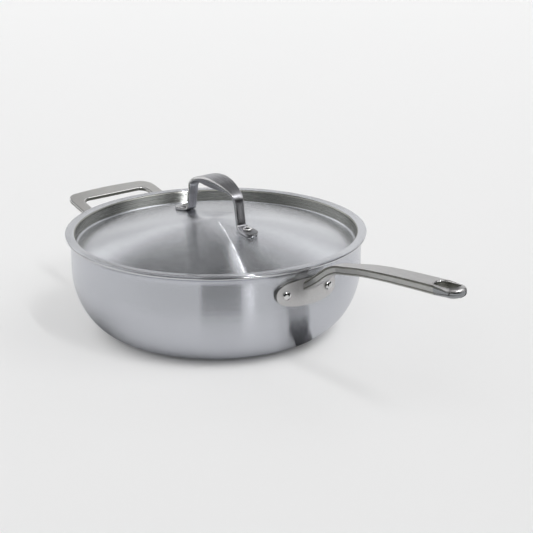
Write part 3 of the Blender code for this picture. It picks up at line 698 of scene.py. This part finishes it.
def brush_along(tree, shader, direction, steepness, stretch=1.0):
    """Gives a steel grooves that all run one way over its surface and stretch its highlights."""
    facing = add_node(tree, 'NewGeometry').outputs['Normal']
    rise = add_node(tree, 'VectorMath', {0: facing}, {1: direction}, operation='DOT_PRODUCT').outputs['Value']
    lifted = add_node(tree, 'VectorMath', {0: facing, 'Scale': rise}, operation='SCALE').outputs[0]
    level = add_node(tree, 'VectorMath', {1: lifted}, {0: direction}, operation='SUBTRACT').outputs[0]
    tangent = add_node(tree, 'VectorMath', {0: level}, operation='NORMALIZE').outputs[0]
    lean_grooves(tree, shader, tangent, steepness)
    shader.inputs['Anisotropic'].default_value = stretch


def worked_steel(name, colour, roughness, marks, sheen, brushing=None, patches=None, tones=None):
    """A steel whose marks move its sheen between two ends, and whose patches move its tone."""
    made, tree, shader = steel(name, colour, roughness)
    if brushing:
        brush_along(tree, shader, *brushing)
    vary_sheen(tree, shader, long_grain(tree, marks), *sheen)
    if patches:
        vary_tone(tree, shader, long_grain(tree, patches), *tones)
    return made


# Cast stainless steel, ground satin along its length: a soft, even grey with a faint long grain
handle_satin = worked_steel('cast_steel_satin', 'CAC9C8', 0.36, GROUND_MARKS, sheen=(0.33, 0.41),
                            brushing=(ALONG_ARM, 0.06, HALF_BRUSHED),
                            patches=GROUND_PATCHES, tones=('C4C3C3', 'CECDCD'))

# The same casting buffed on its edges: thin bright lines round every face
handle_polished = worked_steel('cast_steel_polished', 'D0D0D0', 0.12, BUFFED_MARKS, sheen=(0.09, 0.16))

# Its sides, brushed once: duller, with light drawn out up and down, and painted a shade darker than
# the top as shade on the sides
handle_side_painted_shade = worked_steel('cast_steel_side_painted_shade', 'C0C0BE', 0.40, SIDE_MARKS, sheen=(0.34, 0.44),
                           brushing=(ALONG_ARM, 0.26), patches=SIDE_PATCHES, tones=('B9B9B7', 'C6C6C4'))

# Its sides near the root, painted paler as light on them, and rough: they take light from all round and
# mirror next to nothing
handle_root_painted_light = worked_steel('cast_steel_root_painted_light', 'E0E0DE', 0.50, BUFFED_MARKS, sheen=(0.46, 0.56),
                           brushing=(ALONG_ARM, 0.30), patches=SIDE_PATCHES, tones=('DADAD8', 'E6E6E4'))

# Its nose, buffed to a mirror with small, sharp lights: its dark colour is painted shade for the dark
# room that it mirrors
handle_nose_painted_shade = worked_steel('cast_steel_nose_polished_painted_shade', '8E9092', 0.12, BUFFED_MARKS, sheen=(0.09, 0.16))

# The grooves, the hole's wall, the plates' sides and the loop's inner side: the darkest and dullest
# steel, painted shade of the recesses and gaps
handle_recess_painted_shade = worked_steel('cast_steel_recess_painted_shade', '84847E', 0.42, CAST_MARKS, sheen=(0.38, 0.50),
                             patches=CAST_PATCHES, tones=('7A7A74', '8C8C86'))
HANDLE_STEELS = (handle_satin, handle_polished, handle_side_painted_shade, handle_recess_painted_shade, handle_nose_painted_shade, handle_root_painted_light)

# The arm's outline across its length: corners as shares of its width and thickness, and their round
arm_corners = [(0.0, 0.500, 0), (0.465, 0.500, 0.05), (0.500, 0.445, 0.04), (0.430, 0.330, 0.05),
               (0.495, 0.215, 0.06), (0.480, -0.060, 0.10), (0.484, -0.190, 0.03), (0.455, -0.265, 0.03),
               (0.484, -0.340, 0.03), (0.480, -0.400, 0.04), (0.41, -0.500, 0.08), (0.0, -0.500, 0)]
arm_half = rounded(arm_corners, steps=3)
arm_outline = [(side, up) for side, up in arm_half if side >= 0]
arm_outline += [(-side, up) for side, up in arm_outline[::-1] if side > 0]

stations = [(ARM_START - ARM_SUNK, ARM_ROOT_HEIGHT - ARM_RISE * ARM_SUNK_DROP, *ARM_ROOT_SIZE),
            (ARM_START, ARM_ROOT_HEIGHT, *ARM_ROOT_SIZE)]
for along, up, width, thick in ARM_STATIONS:
    stations.append((ARM_START + ARM_REACH * along, ARM_ROOT_HEIGHT + ARM_RISE * up, width, thick))
arm_line = eased(stations, steps=8)
arm_tip = ARM_START + ARM_REACH
nose = ARM_NOSE_SIZE[0] / 2
arm_sizes = [(x, width, thick) for x, z, width, thick in arm_line if x < arm_tip - nose - NOSE_CLEAR]
for step in range(NOSE_STEPS + 1):
    angle = math.radians(NOSE_TURN * math.sin(math.pi / 2 * step / NOSE_STEPS))
    arm_sizes.append((arm_tip - nose + nose * math.sin(angle), ARM_NOSE_SIZE[0] * math.cos(angle),
                      ARM_NOSE_SIZE[1]))

bpy.ops.object.select_all(action='DESELECT')
bpy.ops.mesh.primitive_circle_add(vertices=len(arm_outline), fill_type='NGON')
long_handle = bpy.context.object
long_handle.name = long_handle.data.name = 'long_handle_casting'
first_x, first_width, first_thick = arm_sizes[0]
for vertex, (side, up) in zip(long_handle.data.vertices, arm_outline):
    vertex.co = (first_x, side * first_width, up * first_thick)
bpy.ops.object.mode_set(mode='EDIT')
bpy.ops.mesh.select_all(action='SELECT')
for before, after in zip(arm_sizes, arm_sizes[1:]):
    bpy.ops.mesh.extrude_region_move(
        TRANSFORM_OT_translate={'value': (after[0] - before[0], 0.0, 0.0)})
    bpy.ops.transform.resize(value=(1.0, after[1] / before[1], after[2] / before[2]),
                             center_override=(after[0], 0.0, 0.0))
close_piece()


def pick_faces(piece, wanted):
    """Opens a piece for editing with only the wanted faces selected."""
    bpy.ops.object.mode_set(mode='EDIT')
    bpy.ops.mesh.select_mode(type='FACE')
    bpy.ops.mesh.select_all(action='DESELECT')
    bpy.ops.object.mode_set(mode='OBJECT')
    for face in piece.data.polygons:
        face.select = wanted(face)
    bpy.ops.object.mode_set(mode='EDIT')


# The cutter for the hanging hole widens at both mouths, so that the rim comes out rounded
half_slot = (HOLE_LENGTH - HOLE_WIDTH) / 2
hole_centre = arm_tip - HOLE_END_MARGIN - HOLE_LENGTH / 2
hole_radius = HOLE_WIDTH / 2
rim_bottom = ARM_NOSE_SIZE[1] / 2 - HOLE_RIM_ROUND
mouth_step = math.pi / 2 / MOUTH_STEPS
bpy.ops.object.select_all(action='DESELECT')
bpy.ops.mesh.primitive_cylinder_add(vertices=HOLE_SIDES, radius=hole_radius, depth=2 * rim_bottom,
                                    location=(hole_centre, 0.0, 0.0),
                                    rotation=(0.0, 0.0, math.pi / HOLE_SIDES))
hole_cutter = bpy.context.object
bpy.ops.object.transform_apply(location=True, rotation=True, scale=True)
for facing in (1, -1):
    pick_faces(hole_cutter, lambda face: face.normal.z * facing > END_FACING)
    radius = hole_radius
    for step in range(1, MOUTH_STEPS + 1):
        angle = mouth_step * step
        wider = hole_radius + HOLE_RIM_ROUND * (1 - math.cos(angle))
        rise = HOLE_RIM_ROUND * (math.sin(angle) - math.sin(angle - mouth_step))
        bpy.ops.mesh.extrude_region_move(TRANSFORM_OT_translate={'value': (0.0, 0.0, rise * facing)})
        bpy.ops.transform.resize(value=(wider / radius, wider / radius, 1.0),
                                 center_override=(hole_centre, 0.0, 0.0))
        radius = wider
    bpy.ops.mesh.extrude_region_move(TRANSFORM_OT_translate={'value': (0.0, 0.0, MOUTH_LIFT * facing)})
    bpy.ops.object.mode_set(mode='OBJECT')
for vertex in hole_cutter.data.vertices:
    vertex.co.x += half_slot if vertex.co.x > hole_centre else -half_slot
give_steels(long_handle, *HANDLE_STEELS)
give_steels(hole_cutter, *HANDLE_STEELS)
# The hole's wall and the grooves take the recess steel, the nose its dark polished steel and the sides below
# the upper groove the side steel, all painted shade; the sides near the root take the root steel, painted
# light
for face in hole_cutter.data.polygons:
    face.material_index = RECESS if abs(face.center.z) < rim_bottom * HOLE_WALL_SHARE else POLISHED
for face in long_handle.data.polygons:
    station = min(arm_sizes, key=lambda size: abs(size[0] - face.center.x))
    up = face.center.z / station[2]
    in_groove = GROOVE_LOW < up < GROOVE_HIGH or LOWER_GROOVE_LOW < up < LOWER_GROOVE_HIGH
    if face.center.x > arm_tip - NOSE_POLISH and face.normal.z < HALF_FACING:
        face.material_index = NOSE
    elif abs(face.normal.y) > GROOVE_FACING and in_groove:
        face.material_index = RECESS
    elif abs(face.normal.y) > SIDE_FACING and up < GROOVE_LOW:
        face.material_index = SIDE if face.center.x > ARM_START + ROOT_LENGTH else ROOT
combine(long_handle, hole_cutter, 'DIFFERENCE')


def arm_place(x):
    """Height and slope of the arm's centre line at a distance from the pan's axis."""
    for before, after in zip(arm_line, arm_line[1:]):
        if x <= after[0] or after is arm_line[-1]:
            break
    slope = (after[1] - before[1]) / (after[0] - before[0])
    return before[1] + slope * (x - before[0]), math.atan(slope)


# The straight bar is pinched round its nose and laid along the arm's line, square to it
for vertex in long_handle.data.vertices:
    x, side, up = vertex.co
    past = min(1.0, max(0.0, (x - arm_tip + PINCH_START * nose) / (PINCH_LENGTH * nose)))
    rim = min(1.0, math.hypot(max(0.0, x - arm_tip + nose), side) / nose)
    kept = math.sqrt(max(0.0, PINCH_FULLNESS - rim ** PINCH_ROUND))
    up *= 1 - past ** 2 * (3 - 2 * past) * (1 - kept)
    height, slope = arm_place(x)
    slope *= min(1.0, max(0.0, (x - ARM_START) / ARM_TILT_LENGTH))
    vertex.co = (x - up * math.sin(slope), side, height + up * math.cos(slope))

long_plate = wrapped_plate('long_plate', LONG_PLATE_HALF_WIDTH, LONG_PLATE_HEIGHT,
                           LONG_PLATE_CENTRE, 0.0)
give_steels(long_plate, *HANDLE_STEELS)
thicken(long_plate, PLATE_THICK, -1.0, CAST_EDGE_ROUND)
darken_rim(long_plate)
combine(long_handle, long_plate, 'UNION')
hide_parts('long_handle')
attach(long_handle, 'pan')


# The helper handle: a second casting on the far side, a wider plate with a flat loop that
# rises away from the wall. It has the long handle's satin finish and polished edges.
HELPER_PLATE_HALF_WIDTH = 0.0630
HELPER_PLATE_HEIGHT = 0.0280
HELPER_PLATE_CENTRE = 0.0780
LOOP_FAR = -0.2026
LOOP_BAR_INNER = -0.1866
LOOP_HALF_WIDTH = 0.0530
LOOP_LEG_WIDTH = 0.0132
LOOP_BAR_BOW = 0.0020
LOOP_OUTER_CORNER = 0.0145
LOOP_INNER_CORNER = 0.0090
LOOP_SPLAY = 0.00114
LOOP_THICK = 0.0040
LOOP_SUNK = 0.0018
LOOP_STEPS = 8
LOOP_CORNER_STEPS = 12
LOOP_SIDE_FACING = 0.3
LOOP_ROOT_TOP = 0.0882
LOOP_LEG_SLOPE = 0.25
LOOP_BAR_SLOPE = 0.22


def loop_top(x):
    """Height of the loop's upper face at a place between the wall and its far end."""
    along_leg = -PLATE_FRONT_RADIUS - max(x, LOOP_BAR_INNER)
    past_leg = max(0.0, LOOP_BAR_INNER - x)
    return LOOP_ROOT_TOP + along_leg * LOOP_LEG_SLOPE + past_leg * LOOP_BAR_SLOPE


def loop_edge(side, corner, far, bow_depth):
    """One edge of the loop from above: down a leg, round a corner, along the bar and back."""
    root_side = side + LOOP_SPLAY
    root = -math.sqrt(PLATE_FRONT_RADIUS ** 2 - root_side ** 2) + LOOP_SUNK
    shoulder = far + bow_depth
    half = []
    for step in range(LOOP_STEPS):
        share = step / LOOP_STEPS
        half.append((root + (shoulder + corner - root) * share, root_side + (side - root_side) * share))
    half += bow((shoulder + corner, side - corner), (corner, corner), 90, 180, LOOP_CORNER_STEPS)
    for step in range(1, LOOP_STEPS + 1):
        share = 1 - step / LOOP_STEPS
        half.append((shoulder - bow_depth * (1 - share ** 2), (side - corner) * share))
    whole = half + [(x, -y) for x, y in half[-2::-1]]
    return [(x, y, loop_top(x)) for x, y in whole]


helper_handle = start_piece('helper_handle_casting')
draw_line(loop_edge(LOOP_HALF_WIDTH, LOOP_OUTER_CORNER, LOOP_FAR, LOOP_BAR_BOW))
draw_line(loop_edge(LOOP_HALF_WIDTH - LOOP_LEG_WIDTH, LOOP_INNER_CORNER, LOOP_BAR_INNER, 0.0))
bridge_lines()
bpy.ops.mesh.extrude_region_move(TRANSFORM_OT_translate={'value': (0.0, 0.0, -LOOP_THICK)})
close_piece()
helper_plate = wrapped_plate('helper_plate', HELPER_PLATE_HALF_WIDTH, HELPER_PLATE_HEIGHT,
                             HELPER_PLATE_CENTRE, math.pi)

# Cast stainless steel, ground satin along the loop's bar, a little darker than the long handle
ALONG_BAR = (0.0, 1.0, 0.0)
BAR_MARKS = (0.0011, 0.020, 0.0011)
BAR_PATCHES = (0.0016, 0.012, 0.0016)
loop_satin = worked_steel('cast_steel_loop_satin', 'C4C3C1', 0.36, BAR_MARKS, sheen=(0.33, 0.41),
                          brushing=(ALONG_BAR, 0.06, HALF_BRUSHED),
                          patches=BAR_PATCHES, tones=('BEBDBB', 'C8C7C5'))
for piece in (helper_handle, helper_plate):
    give_steels(piece, loop_satin, handle_polished, handle_side_painted_shade, handle_recess_painted_shade)
round_edges(helper_handle, CAST_EDGE_ROUND)
# The loop's sides take the side steel, painted shade, and its inner side, facing the pan, the recess steel, a
# darker painted shade
for face in helper_handle.data.polygons:
    if abs(face.normal.z) < LOOP_SIDE_FACING:
        face.material_index = RECESS if face.normal.x > HALF_FACING else SIDE
thicken(helper_plate, PLATE_THICK, -1.0, CAST_EDGE_ROUND)
darken_rim(helper_plate)
combine(helper_handle, helper_plate, 'UNION')
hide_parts('helper_handle')
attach(helper_handle, 'pan')


# The rivets of both handles: four stainless rivets, each set through a plate and the wall, with
# a domed head outside and a low flat one inside. They are turned and polished bright.
RIVET_TURNS = 40
WALL_RIVET_HEAD = (0.0044, 0.0024)
WALL_RIVET_TAIL = (0.0052, 0.0015)
WALL_RIVET_SHANK = 0.0024
WALL_RIVET_GRIP = 0.0065
RIVET_SEAT_GAP = 0.0004
RIVET_TAIL_FLAT = 0.7
RIVET_HEAD_STEP = 0.12
RIVET_MARKS = (0.0016, 0.0016, 0.0016)
RIVET_PATCHES = (0.0030, 0.0030, 0.0030)
LONG_RIVET_TURN = 0.0253 / PLATE_FRONT_RADIUS
HELPER_RIVET_TURN = 0.0320 / PLATE_FRONT_RADIUS

# Stainless rivet wire, headed cold and polished: small sharp lights on each head. The dull marks
# of heading are under a millimetre wide, and are drawn 1.6 and 3 mm wide so that they show
rivet_polished = worked_steel('rivet_steel_polished', 'D4D4D4', 0.10, RIVET_MARKS, sheen=(0.08, 0.16),
                              patches=RIVET_PATCHES, tones=('CECECE', 'D8D8D8'))


def rivet(name, head, tail, shank, grip):
    """A set rivet along Z, its tail's sheet at z = 0: one outline spun round."""
    seat = grip + RIVET_SEAT_GAP
    foot = -RIVET_SEAT_GAP
    flat = tail[0] * RIVET_TAIL_FLAT
    outline = [(0.0, foot - tail[1]), (flat, foot - tail[1])]
    outline += bow((flat, foot), (tail[0] - flat, tail[1]), -80, -5, 5)
    outline += [(tail[0], foot), (shank, foot), (shank, seat), (head[0], seat)]
    step = head[1] * RIVET_HEAD_STEP
    outline += bow((0.0, seat + step), (head[0], head[1] - step), 0, 84, 12)
    outline += [(0.0, seat + head[1])]
    piece = spin_outline(name, outline, RIVET_TURNS)
    give_steels(piece, rivet_polished)
    return piece


def set_copy(model, name, placing):
    """Copies a rivet, with a mesh of its own, and sets it in its place."""
    made = bpy.data.objects.new(name, model.data.copy())
    bpy.context.collection.objects.link(made)
    made.data.transform(placing)
    return made


wall_rivet = rivet('wall_rivet', WALL_RIVET_HEAD, WALL_RIVET_TAIL, WALL_RIVET_SHANK, WALL_RIVET_GRIP)
for node_name, angle, height in (
        ('long_handle_rivet_left', LONG_RIVET_TURN, LONG_PLATE_CENTRE),
        ('long_handle_rivet_right', -LONG_RIVET_TURN, LONG_PLATE_CENTRE),
        ('helper_handle_rivet_left', math.pi + HELPER_RIVET_TURN, HELPER_PLATE_CENTRE),
        ('helper_handle_rivet_right', math.pi - HELPER_RIVET_TURN, HELPER_PLATE_CENTRE)):
    copy = set_copy(wall_rivet, node_name + '_polished',
                    Matrix.Rotation(angle, 4, 'Z')
                    @ Matrix.Translation((PAN_INNER_RADIUS, 0.0, height))
                    @ Matrix.Rotation(math.pi / 2, 4, 'Y'))
    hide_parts(node_name)
    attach(copy, 'pan')
bpy.data.objects.remove(wall_rivet, do_unlink=True)


# The lid: one pressing of thin stainless sheet, a flat flange that rests on the lip, a wall that
# drops into the pan, a rounded gutter and a low dome. It is brushed in rings round the middle.
LID_SHEET = 0.0010
LID_WALL_RADIUS = 0.1414
LID_FLANGE_HEIGHT = 0.1018
LID_FLANGE_RADIUS = 0.1509
LID_GUTTER_BEND = 0.0030
LID_GUTTER_CENTRE = (0.1384, 0.0913)
# Two gutter bends away at 45 degrees, so that the gutter runs into the dome without a step
LID_CREST_CENTRE = (0.13416, 0.08706)
LID_TOP_BEND = 0.0020
LID_WALL_FOOT = 0.0905
LID_WALL_BEND_SHARE = 0.4
DOME_EDGE_ANGLE = 20.0
LID_TURNS = 192

crest = bow(LID_CREST_CENTRE, (LID_GUTTER_BEND, LID_GUTTER_BEND), 90 - DOME_EDGE_ANGLE, 45, 5)
dome_radius = crest[0][0] / math.sin(math.radians(DOME_EDGE_ANGLE))
dome_centre = crest[0][1] - dome_radius * math.cos(math.radians(DOME_EDGE_ANGLE))
lid_line = bow((0.0, dome_centre), (dome_radius, dome_radius), 90, 90 - DOME_EDGE_ANGLE, 30)
lid_line += crest[1:]
lid_line += bow(LID_GUTTER_CENTRE, (LID_GUTTER_BEND, LID_GUTTER_BEND), -135, 0, 12)[1:]
lid_line += bow((LID_WALL_RADIUS + LID_TOP_BEND, LID_FLANGE_HEIGHT - LID_TOP_BEND),
                (LID_TOP_BEND, LID_TOP_BEND), 180, 90, 7)
lid_line.append((LID_FLANGE_RADIUS - LID_SHEET / 2, LID_FLANGE_HEIGHT))


def sheet_outline(line, thickness):
    """A sheet's line moved to both sides by half its thickness, with a rounded end."""
    upper = []
    lower = []
    for index, point in enumerate(line):
        before = Vector(line[max(index - 1, 0)])
        after = Vector(line[min(index + 1, len(line) - 1)])
        along = (after - before).normalized() if index else Vector((1.0, 0.0))
        normal = Vector((-along.y, along.x)) * thickness / 2
        upper.append(tuple(Vector(point) + normal))
        lower.append(tuple(Vector(point) - normal))
    end = bow(line[-1], (thickness / 2, thickness / 2), 60, -60, 4)
    return upper + end + lower[::-1]


lid = spin_outline('lid_pressing', sheet_outline(lid_line, LID_SHEET), LID_TURNS)

# Stainless sheet brushed in fine rings: sharper than the pan, so its dome shows two bright fans
lid_brushed = steel_brushed_round('lid_steel_brushed_round', 'C8CACF', roughness=0.13, spread=0.006,
                                  steepness=0.25, tones=('C7C9CE', 'C9CBD0'))

# The same sheet on the wall that drops into the pan: rougher, with grooves that lean less, and a darker
# grey-green as painted shade inside the lid's recess
lid_wall_painted_shade = steel_brushed_round('lid_steel_wall_painted_shade', 'A0A19C', roughness=0.26, spread=0.03,
                               steepness=0.05, tones=('999A94', 'A8A9A5'))
give_steels(lid, lid_brushed, lid_wall_painted_shade)
# The wall inside the flange takes the darker steel: painted shade
wall_inner = LID_WALL_RADIUS - LID_SHEET
wall_outer = LID_WALL_RADIUS + LID_TOP_BEND * LID_WALL_BEND_SHARE
for face in lid.data.polygons:
    reach = math.hypot(face.center.x, face.center.y)
    if wall_inner < reach < wall_outer and face.center.z > LID_WALL_FOOT:
        face.material_index = 1
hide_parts('lid')
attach(lid, 'lid')


# The lid handle: a strap of stainless bar, 3.2 mm thick, bent into an arch with a round foot at
# each end. It is wide in the middle, where its underside swells to a rounded belly, and it is
# ground satin along its length, with polished edges.
STRAP_THICK = 0.0032
STRAP_EDGE_ROUND = 0.0006
STRAP_TOP = 0.1572
STRAP_SAG = 0.0120
STRAP_SHOULDER = 0.0375
STRAP_ANKLE = 0.0422
STRAP_BEND = 0.0050
STRAP_FOOT_LENGTH = 0.0228
STRAP_MIDDLE_WIDTH = 0.0200
STRAP_LEG_WIDTH = 0.0102
STRAP_FOOT_WIDTH = 0.0150
STRAP_LIFT = 0.0019
SHOULDER_SHARE = 0.24
ARCH_STEPS = 12
BEND_STEPS = 8
LEG_STEPS = 4
FOOT_STEPS = 3
TIP_ANGLES = (12, 24, 36, 47, 57, 66, 74, 82)
BELLY_DEPTH = 0.0105
BELLY_REACH = 0.0300
BELLY_CUTS = 7
UNDERSIDE = 0.6


def dome_top(radius, offset):
    """Height of the dome's upper face at a radius, plus an offset square to it."""
    return dome_centre + math.sqrt((dome_radius + LID_SHEET / 2 + offset) ** 2 - radius ** 2)


def strap_width(x):
    """Width of the strap over its top, at a distance from its middle."""
    return STRAP_LEG_WIDTH + (STRAP_MIDDLE_WIDTH - STRAP_LEG_WIDTH) * (1 - (x / STRAP_SHOULDER) ** 2)


def strap_half():
    """The strap's middle line from its top to a foot's tip: (x, z, width)."""
    top = STRAP_TOP - STRAP_THICK / 2
    shoulder_height = top - STRAP_SAG
    ankle_height = dome_top(STRAP_ANKLE, STRAP_LIFT)
    leg = Vector((STRAP_ANKLE - STRAP_SHOULDER, ankle_height - shoulder_height)).normalized()
    path = []
    for step in range(ARCH_STEPS + 1):
        x = (STRAP_SHOULDER - STRAP_BEND) * step / ARCH_STEPS
        path.append((x, top - STRAP_SAG * (x / STRAP_SHOULDER) ** 2, strap_width(x)))
    start = Vector(path[-1][:2])
    bend = Vector((STRAP_SHOULDER, shoulder_height))
    end = bend + leg * STRAP_BEND
    wider = (STRAP_MIDDLE_WIDTH - STRAP_LEG_WIDTH) * SHOULDER_SHARE
    for step in range(1, BEND_STEPS + 1):
        share = step / BEND_STEPS
        point = curve_point(start, bend, end, share)
        path.append((point.x, point.y, STRAP_LEG_WIDTH + wider * (1 - share)))
    ankle = Vector((STRAP_ANKLE, ankle_height))
    start = ankle - leg * STRAP_BEND
    for step in range(1, LEG_STEPS):
        point = end.lerp(start, step / LEG_STEPS)
        path.append((point.x, point.y, STRAP_LEG_WIDTH))
    foot = STRAP_ANKLE + STRAP_BEND
    end = Vector((foot, dome_top(foot, STRAP_LIFT)))
    wider = STRAP_FOOT_WIDTH - STRAP_LEG_WIDTH
    for step in range(BEND_STEPS + 1):
        share = step / BEND_STEPS
        point = curve_point(start, ankle, end, share)
        path.append((point.x, point.y, STRAP_LEG_WIDTH + wider * share ** 2))
    tip = STRAP_ANKLE + STRAP_FOOT_LENGTH
    round_start = tip - STRAP_FOOT_WIDTH / 2
    for step in range(1, FOOT_STEPS + 1):
        x = foot + (round_start - foot) * step / FOOT_STEPS
        path.append((x, dome_top(x, STRAP_LIFT), STRAP_FOOT_WIDTH))
    for angle in TIP_ANGLES:
        x = round_start + STRAP_FOOT_WIDTH / 2 * math.sin(math.radians(angle))
        path.append((x, dome_top(x, STRAP_LIFT), STRAP_FOOT_WIDTH * math.cos(math.radians(angle))))
    return path


half = strap_half()
strap_path = [(-x, z, width) for x, z, width in half[:0:-1]] + half
strap = start_piece('lid_strap')
draw_line([(x, width / 2, z) for x, z, width in strap_path])
draw_line([(x, -width / 2, z) for x, z, width in strap_path])
bridge_lines()
bpy.ops.object.mode_set(mode='OBJECT')

# Stainless bar ground along its length: the strap's top mirrors in long streaks. The real lines
# are 0.1 mm apart, and are drawn 0.9 and 1.2 mm apart so that they show
ALONG_STRAP = (1.0, 0.0, 0.0)
STRAP_LINES = (0.018, 0.0009, 0.018)
STRAP_PATCHES = (0.024, 0.0012, 0.024)
STRAP_EDGE_MARKS = (0.006, 0.0010, 0.006)
strap_satin = worked_steel('strap_steel_satin', 'A6A6AA', 0.30, STRAP_LINES, sheen=(0.25, 0.36),
                           brushing=(ALONG_STRAP, 0.10), patches=STRAP_PATCHES, tones=('98989C', 'B4B4B8'))

# The same bar buffed on its edges: bright lines along both sides and round the feet
strap_polished = worked_steel('strap_steel_polished', 'D4D4D5', 0.12, STRAP_EDGE_MARKS,
                              sheen=(0.08, 0.15))
give_steels(strap, strap_satin, strap_polished)
pick_faces(strap, lambda face: False)
bpy.ops.mesh.select_mode(type='EDGE')
bpy.ops.object.mode_set(mode='OBJECT')
for edge in strap.data.edges:
    ends = [strap.data.vertices[place].co for place in edge.vertices]
    level = abs(ends[0].x - ends[1].x) < WELD and abs(ends[0].z - ends[1].z) < WELD
    edge.select = level and abs(ends[0].x) < BELLY_REACH
bpy.ops.object.mode_set(mode='EDIT')
bpy.ops.mesh.subdivide(number_cuts=BELLY_CUTS)
bpy.ops.object.mode_set(mode='OBJECT')
thicken(strap, STRAP_THICK, 0.0, STRAP_EDGE_ROUND)

# The strap's underside swells to a rounded belly below its wide middle
for vertex in strap.data.vertices:
    x, side, height = vertex.co
    below = STRAP_TOP - STRAP_SAG * (x / STRAP_SHOULDER) ** 2 - height
    if abs(x) < BELLY_REACH and below > STRAP_THICK * UNDERSIDE:
        share = min(1.0, abs(side) / (strap_width(x) / 2 - STRAP_EDGE_ROUND))
        vertex.co.z -= BELLY_DEPTH * (1 - (x / BELLY_REACH) ** 2) * (1 - share ** 2)
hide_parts('lid_handle')
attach(strap, 'lid')


# The lid's rivets: two polished stainless rivets, one through each foot of the strap, set square
# to the dome, with domed heads above and low flat ones below.
LID_RIVET_HEAD = (0.0048, 0.0026)
LID_RIVET_TAIL = (0.0042, 0.0012)
LID_RIVET_SHANK = 0.0016
LID_RIVET_GRIP = 0.0045
LID_RIVET_PLACE = 0.0520

rivet_under = dome_top(LID_RIVET_PLACE, -LID_SHEET)
rivet_lean = math.atan2(LID_RIVET_PLACE, rivet_under - dome_centre)
lid_rivet = rivet('lid_rivet', LID_RIVET_HEAD, LID_RIVET_TAIL, LID_RIVET_SHANK, LID_RIVET_GRIP)
for node_name, turn in (('lid_rivet_front', 0.0), ('lid_rivet_back', math.pi)):
    copy = set_copy(lid_rivet, node_name + '_polished',
                    Matrix.Rotation(turn, 4, 'Z')
                    @ Matrix.Translation((LID_RIVET_PLACE, 0.0, rivet_under))
                    @ Matrix.Rotation(rivet_lean, 4, 'Y'))
    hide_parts(node_name)
    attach(copy, 'lid')
bpy.data.objects.remove(lid_rivet, do_unlink=True)
